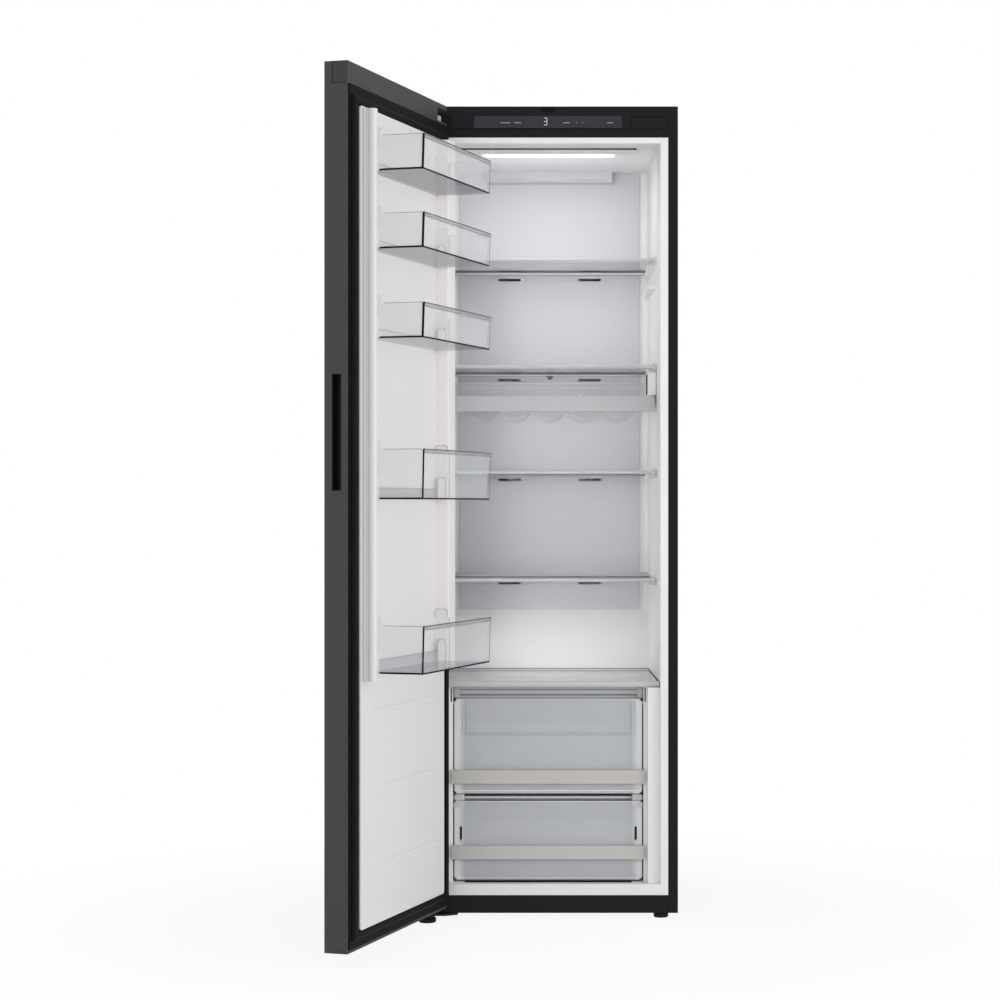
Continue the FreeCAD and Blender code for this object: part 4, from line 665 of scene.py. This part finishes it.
def makeCrisperLines():
    # painted shade on the apron under the glass lid, its dark side posts and pale ends, and the dark
    # edges of the lid
    c = crisper
    half, rearHalf, top = c["half"], c["rearHalf"], c["paneTop"]
    (rearX, rearY), (frontX, frontY) = c["paneRear"], c["paneFront"]
    # painted shade: grey bars across the apron under the lid
    bars("crisperShade", "cabinet", "edgeGrey", [
        level(-half, half, c["face"], z, c["lineDeep"], tall) for z, tall in c["lines"]])
    bars("crisperPosts", "cabinet", "edgeDark", [
        upright(s * c["post"], c["postY"], c["postLow"], c["postHigh"], *c["postBar"]) for s in (-1, 1)])
    bars("crisperEnds", "cabinet", "stopClear", [
        level(s * c["endIn"], s * c["endOut"], c["endY"], c["endZ"], *c["endBar"]) for s in (-1, 1)])
    rows = [level(-rearHalf, rearHalf, c["rearY"], c["rearTop"], *c["rearBar"])]
    for s in (-1, 1):
        rows.append((inRoom(s * rearX, rearY, top), inRoom(s * frontX, frontY, top), *c["paneBar"]))
    bars("lidEdges", "cabinet", "edgeDark", rows)


shelfBands = {"levels": (1518.0, 1267.6, 1019.0), "lift": 2, "front": 417, "back": 463, "half": 243,
              "thick": 0.8, "beadIn": 0.4, "beadDeep": 1, "lip": 1.2, "lipOut": 1, "lipDeep": 2,
              "heelOut": 2, "heelDrop": 0.4, "heelBar": (3, 1)}


def makeShelfBands():
    # a white strip with its bead under the rear edge of each pane, painted light on the rear band, and a
    # grey line before and behind it
    s = shelfBands
    half, front, back = s["half"], s["front"], s["back"]
    lift, thick, lip = s["lift"], s["thick"], s["lip"]
    strips, lines = [], []
    for low in s["levels"]:
        glass, middle = low + lift, (front + back) / 2
        strips.append(level(-half, half, middle, glass - thick / 2, back - front, thick))
        strips.append(level(-half, half, back - s["beadIn"], low + lift / 2, s["beadDeep"], lift))
        lines.append(level(-half, half, front - s["lipOut"], glass - lip / 2, s["lipDeep"], lip))
        lines.append(level(-half, half, back + s["heelOut"], low - s["heelDrop"], *s["heelBar"]))
    # painted light: white strips that brighten the rear of each pane
    bars("shelfPaintedLight", "cabinet", "linerWhite", strips)
    bars("shelfClampLines", "cabinet", "edgeGrey", lines)


hangerGapShadow = {"x": 231.2, "y": 154, "low": 1206, "high": 1254, "gapShadowBar": (3.4, 3)}


def makeHangerGapShadows():
    # painted shadow: dark bars in the gaps at the hangers of the bottle rack
    h = hangerGapShadow
    bars("hangerGapShadows", "cabinet", "edgeDark", [
        upright(s * h["x"], h["y"], h["low"], h["high"], *h["gapShadowBar"]) for s in (-1, 1)])


sealLip = {"near": 592.4, "hinge": 2.6, "low": 37, "high": 1807, "rise": 0.7, "sideBar": (2.8, 1.4),
           "endBar": (1.4, 2.0)}


def makeSealLip():
    # outer lip of the gasket round the edge of the door lining
    s = sealLip
    near, hinge, low, high, rise = s["near"], s["hinge"], s["low"], s["high"], s["rise"]
    bars("sealLipSides", "door", "sealRubber", [
        doorBar((u, rise, low), (u, rise, high), *s["sideBar"]) for u in (near, hinge)], doorOut)
    bars("sealLipEnds", "door", "sealRubber", [
        doorBar((hinge, rise, z), (near, rise, z), *s["endBar"]) for z in (low, high)])


# each stripe: finish, place across and out of the door, thickness, width
dikePaintedShade = {"foot": (545, 9), "crown": (542, 32), "low": 584, "high": 1761,
              "stripes": {"dikePaintedShade": ("shadeGrey", 543.8, 20.6, 0.8, 20),
                          "dikePale": ("doorWhite", 544.4, 17.8, 0.5, 2.8),
                          "dikeShadeLine": ("shadeGrey", 543.4, 26.2, 0.5, 1.8)}}


def makeDikeStripe():
    # painted shade for the step along the sloped outer flank of the near dike, and the fine lines beside
    # it: one pale in the lining's white, one of darker painted shade
    d = dikePaintedShade
    slope = (onDoor(*d["crown"], 0) - onDoor(*d["foot"], 0)).normalized()
    for name, (finish, u, v, thick, wide) in d["stripes"].items():
        bars(name, "door", finish, [doorBar((u, v, d["low"]), (u, v, d["high"]), thick, wide)], slope)


grooves = {"levels": (518, 356, 194), "left": 86, "right": 486, "floor": 7.2, "floorHalf": 4.4,
           "dish": ((6.4, 10.03), (5, 9.6), (2.4, 8.1), (0.4, 7.5), (-2, 8.3), (-4.6, 9.6),
                    (-6.4, 10.03))}


def makeGrooveDish():
    # soft shallow bottoms of the three pressed lines low on the lining
    g = grooves
    points, faces = [], []
    for z in g["levels"]:
        first = len(points)
        outline = [(z + rise, v) for rise, v in g["dish"]]
        outline += [(z - g["floorHalf"], g["floor"]), (z + g["floorHalf"], g["floor"])]
        count = len(outline)
        for u in (g["right"], g["left"]):
            points += [onDoor(u, v, height) for height, v in outline]
        for k in range(count):
            after = (k + 1) % count
            faces.append((first + k, first + after, first + count + after, first + count + k))
        faces.append([first + k for k in reversed(range(count))])
        faces.append([first + count + k for k in range(count)])
    piece = newPiece(newMesh("grooveDish", points, faces), "doorWhite")
    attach(piece, "door")


rackEdge = {"half": 228, "y": 146.8, "thick": 1.6, "low": 1200, "high": 1233, "lines": (1222, 1232.4),
            "lineBar": (2.0, 1.2)}


def makeRackEdge():
    # clear upper edge of the bottle rack's front
    r = rackEdge
    half, y = r["half"], r["y"]
    middle, tall = (r["low"] + r["high"]) / 2, r["high"] - r["low"]
    bars("rackClearEdge", "bottle_rack", "edgeClear", [level(-half, half, y, middle, r["thick"], tall)])
    bars("rackEdgeLines", "bottle_rack", "trimGrey", [
        level(-half, half, y, z, *r["lineBar"]) for z in r["lines"]])


shelfClip = {"x": 1, "y": 470, "top": 1268, "deep": 6, "steps": ((16, 4), (13, 3.5), (8, 2.5))}


def makeShelfClip():
    # stepped clip under the rear middle of the second shelf
    c = shelfClip
    x, rows, z = c["x"], [], c["top"]
    for wide, tall in c["steps"]:
        rows.append(level(x - wide / 2, x + wide / 2, c["y"], z - tall / 2, c["deep"], tall))
        z -= tall
    bars("shelfClip", "cabinet", "edgeGrey", rows)


capSeam = {"u": 595.1, "outer": -33.7, "inner": -0.6, "low": 1808, "high": 1852.5,
           "seamBar": (0.6, 1.0)}


def makeCapSeam():
    # joint round the near end of the door's top cap
    c = capSeam
    corner = (c["u"], c["outer"], c["low"])
    bars("capSeam", "door", "edgeDark", [
        doorBar(corner, (c["u"], c["outer"], c["high"]), *c["seamBar"]),
        doorBar(corner, (c["u"], c["inner"], c["low"]), *c["seamBar"])], doorOut)


hingePlate = {"from": (-255.2, -20), "to": (-245.9, 3), "low": 1823, "high": 1837, "thick": 1}


def makeHingePlate():
    # bright strap on the side of the top hinge's arm
    h = hingePlate
    middle, tall = (h["low"] + h["high"]) / 2, h["high"] - h["low"]
    bars("hingePlate", "cabinet", "stopPlate", [
        (inRoom(*h["from"], middle), inRoom(*h["to"], middle), h["thick"], tall)])


backSheet = {"face": 636, "ribs": (520, 860, 1200, 1540), "ribHalf": 180, "ribRise": 9,
             "ribBar": (1.2, 2.4), "half": 295.6, "seam": 300.2, "seamBar": (0.6, 1.6),
             "low": 18, "high": 1857.5, "sideBar": (1.0, 0.6)}


def makeBackLines():
    # rolled edges of the pressed ribs, and the joints of the rear sheets
    b = backSheet
    face, half, ribHalf, ribRise = b["face"], b["half"], b["ribHalf"], b["ribRise"]
    rows = []
    for z in b["ribs"]:
        for edge in (z - ribRise, z + ribRise):
            rows.append(level(-ribHalf, ribHalf, face, edge, *b["ribBar"]))
    bars("backRibs", "cabinet", "backSteel", rows)
    rows = [level(-half, half, face, b["seam"], *b["seamBar"])]
    for x in (-half, half):
        rows.append(upright(x, face, b["low"], b["high"], *b["sideBar"]))
    bars("backJoints", "cabinet", "edgeDark", rows)


# rows: the places across the back, by height
screwHead = {
    "outline": ((5.6, 0), (5.6, 0.8), (4.3, 0.9), (4.1, 1.6), (3.2, 2.2), (1.8, 2.6), (0.4, 2.7)),
    "steps": 18, "slot": 2.2, "slotDeep": 0.4, "slotWide": 0.9,
    "rows": {34: (-282, -130, 0, 176, 282), 284: (-282, -130, 0, 176, 282), 690: (-282, 282),
             1080: (-282, 282), 1470: (-282, 282), 1840: (-282, 0, 282)},
}


def makeScrews():
    # flanged dome heads with a cross slot, holding the rear sheets
    s = screwHead
    outline, steps, slot, deep, wide = s["outline"], s["steps"], s["slot"], s["slotDeep"], s["slotWide"]
    face = backSheet["face"]
    top = face + outline[-1][1]
    points, faces, slots = [], [], []
    for x, z in [(x, z) for z, row in s["rows"].items() for x in row]:
        first = len(points)
        last = first + (len(outline) - 1) * steps
        for radius, rise in outline:
            for k in range(steps):
                turn = math.tau * k / steps
                right, up = radius * math.cos(turn), radius * math.sin(turn)
                points.append(inRoom(x + right, face + rise, z + up))
        for ring in range(first, last, steps):
            for k in range(steps):
                a, b = ring + k, ring + (k + 1) % steps
                faces.append((a, a + steps, b + steps, b))
        faces.append([last + k for k in reversed(range(steps))])
        slots.append(level(x - slot, x + slot, top, z, deep, wide))
        slots.append(upright(x, top, z - slot, z + slot, wide, deep))
    piece = newPiece(newMesh("rearScrews", points, faces), "zincSteel")
    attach(piece, "cabinet")
    bars("rearScrewSlots", "cabinet", "edgeDark", slots)


makeBinEdges()
makeLampGap()
makePanelMarks()
makeHeadSeams()
makeDrawerLines()
makeRailEnds()
makeCrisperLines()
makeShelfBands()
makeHangerGapShadows()
makeSealLip()
makeDikeStripe()
makeGrooveDish()
makeRackEdge()
makeShelfClip()
makeCapSeam()
makeHingePlate()
makeBackLines()
makeScrews()
print("edge lines and marks made")

bevels = {"door_front_panel": 1.2, "door_top_cap": 1.5, "door_bottom_cap": 1.5, "control_housing": 1.0,
          "side_panels": 0.4, "front_flange": 0.4, "plinth": 0.8, "rack_front_band": 1.0,
          "shelf_trims": 0.6, "crisper_cover_frame": 0.8, "drawer_guides": 1.2, "duct_panel": 0.8,
          "inner_liner": 0.8, "door_liner": 1.0, "handle_insert": 0.8, "bottom_hinge": 0.6,
          "top_hinge": 0.6}
rounding = {"weld": 0.00002, "segments": 2, "angle": 40, "weight": 100}


def softenEdges():
    for name, wide in bevels.items():
        piece = nodes[name]
        weld = piece.modifiers.new("weld", "WELD")
        weld.merge_threshold = rounding["weld"]
        bevel = piece.modifiers.new("bevel", "BEVEL")
        bevel.width = wide / perMetre
        bevel.segments = rounding["segments"]
        bevel.limit_method = "ANGLE"
        bevel.angle_limit = math.radians(rounding["angle"])
        bevel.use_clamp_overlap = True
        even = piece.modifiers.new("even", "WEIGHTED_NORMAL")
        even.weight = rounding["weight"]
        even.keep_sharp = True


softenEdges()
print("edges rounded on", len(bevels), "solids")

# stage, lamps and lens are in metres; from near to far the floor's own shade gives way to white
stage = {"size": 30.0, "shade": 0.9, "rough": 0.9, "near": 0.5, "far": 1.6, "glow": 0.88,
         "sky": 0.75, "seenSky": 0.25, "glossSky": 0.6}


def makeStage():
    s = stage
    half = s["size"] / 2
    corners = [(-half, -half, 0), (half, -half, 0), (half, half, 0), (-half, half, 0)]
    finish, shader, wire = newFinish("floorPaper")
    fill(wire, shader, {"Base Color": (s["shade"], s["shade"], s["shade"]), "Roughness": s["rough"]})
    light = wire.node("LightPath", out="Is Camera Ray")
    gloss = wire.node("LightPath", out="Is Glossy Ray")
    white = wire.node("Emission", None, {"Strength": 1.0})
    far = wire.node("VectorMath", {"operation": "LENGTH"}, {0: ownPlace(wire)}, out="Value")
    away = wire.node("MapRange", {"interpolation_type": "SMOOTHSTEP"},
                     {0: far, 1: s["near"], 2: s["far"], 3: s["glow"], 4: 1.0})
    seen = wire.maths("MAXIMUM", light, gloss) * away
    mixed = wire.node("MixShader", None, {0: seen, 1: Wire(wire.tree, shader.outputs[0]), 2: white})
    wire.plug(finish.node_tree.nodes["Material Output"].inputs["Surface"], mixed)
    finishes["floorPaper"] = finish
    floor = newPiece(newMesh("floor", corners, [(0, 1, 2, 3)]), "floorPaper")

    world = bpy.data.worlds.new("studio")
    bpy.context.scene.world = world
    world.use_nodes = True
    tree = Wire(world.node_tree)
    camera = tree.node("LightPath", out="Is Camera Ray")
    shine = tree.node("LightPath", out="Is Glossy Ray")
    through = tree.node("LightPath", out="Is Transmission Ray")
    seen = tree.maths("MAXIMUM", tree.maths("MAXIMUM", camera, shine * s["glossSky"]), through)
    back = world.node_tree.nodes["Background"]
    tree.plug(back.inputs["Strength"], s["sky"] + seen * s["seenSky"])
    back.inputs["Color"].default_value = (1, 1, 1, 1)


lamps = {
    "frontSoft": {"at": (-0.3, -5.4, 1.6), "aim": (0, 0, 0.9), "size": (3.2, 3.2), "watts": 30},
    "rightSoft": {"at": (3.2, -2.2, 1.4), "aim": (-0.3, -0.3, 1.1), "size": (2.4, 1.8), "watts": 32},
    "roomFill": {"at": (0.03, -2.4, 1.23), "aim": (0.01, 1.0, 1.23), "size": (0.44, 0.98), "watts": 0.22,
                 "spread": 8},
    "roomOne": {"at": (0.0, 0.17, 1.62), "aim": (0.05, 1, 1.9), "size": (0.28, 0.14), "watts": 0.24},
    "roomTwo": {"at": (0.0, 0.17, 1.40), "aim": (0.3, 1, 1.40), "size": (0.28, 0.14), "watts": 0.14},
    "roomThree": {"at": (0.0, 0.20, 1.10), "aim": (0.3, 1, 1.10), "size": (0.28, 0.06), "watts": 0.13},
    "roomFive": {"at": (0.0, 0.16, 0.73), "aim": (0.03, 0.40, 0.54), "size": (0.34, 0.06), "watts": 0.15,
                 "spread": 100},
    "wallWash": {"at": (-0.21, 0.32, 1.05), "aim": (0.2, 0.30, 1.05), "size": (0.24, 0.92), "watts": 1.0,
                 "spread": 110},
    "cabinetLight": {"at": (0, 0.16, 1.764), "aim": (0, 0.3, 0.9), "size": (0.2, 0.05), "watts": 0.53},
}
fullSpread = 180


def makeLamps():
    for name, lamp in lamps.items():
        data = bpy.data.lights.new(name, "AREA")
        data.energy = lamp["watts"]
        data.shape = "RECTANGLE"
        data.size, data.size_y = lamp["size"]
        data.spread = math.radians(lamp.get("spread", fullSpread))
        made = bpy.data.objects.new(name, data)
        made.location = lamp["at"]
        way = Vector(lamp["aim"]) - Vector(lamp["at"])
        made.rotation_euler = way.to_track_quat("-Z", "Y").to_euler()
        made.visible_camera = False
        made.visible_glossy = False
        bpy.context.scene.collection.objects.link(made)


lens = {"at": (0.041, -5.5, 0.942), "length": 86.44, "sensor": 36, "shift": (-0.066, 0.007),
        "reach": 100}


def makeCamera():
    data = bpy.data.cameras.new("lens")
    data.sensor_width = lens["sensor"]
    data.lens = lens["length"]
    data.shift_x, data.shift_y = lens["shift"]
    data.clip_end = lens["reach"]
    camera = bpy.data.objects.new("lens", data)
    camera.location = lens["at"]
    camera.rotation_euler = (math.radians(90), 0, 0)
    bpy.context.scene.collection.objects.link(camera)
    bpy.context.scene.camera = camera


makeCamera()
makeStage()
makeLamps()
bpy.context.scene.view_settings.view_transform = "Standard"
print("stage, lamps and camera set")
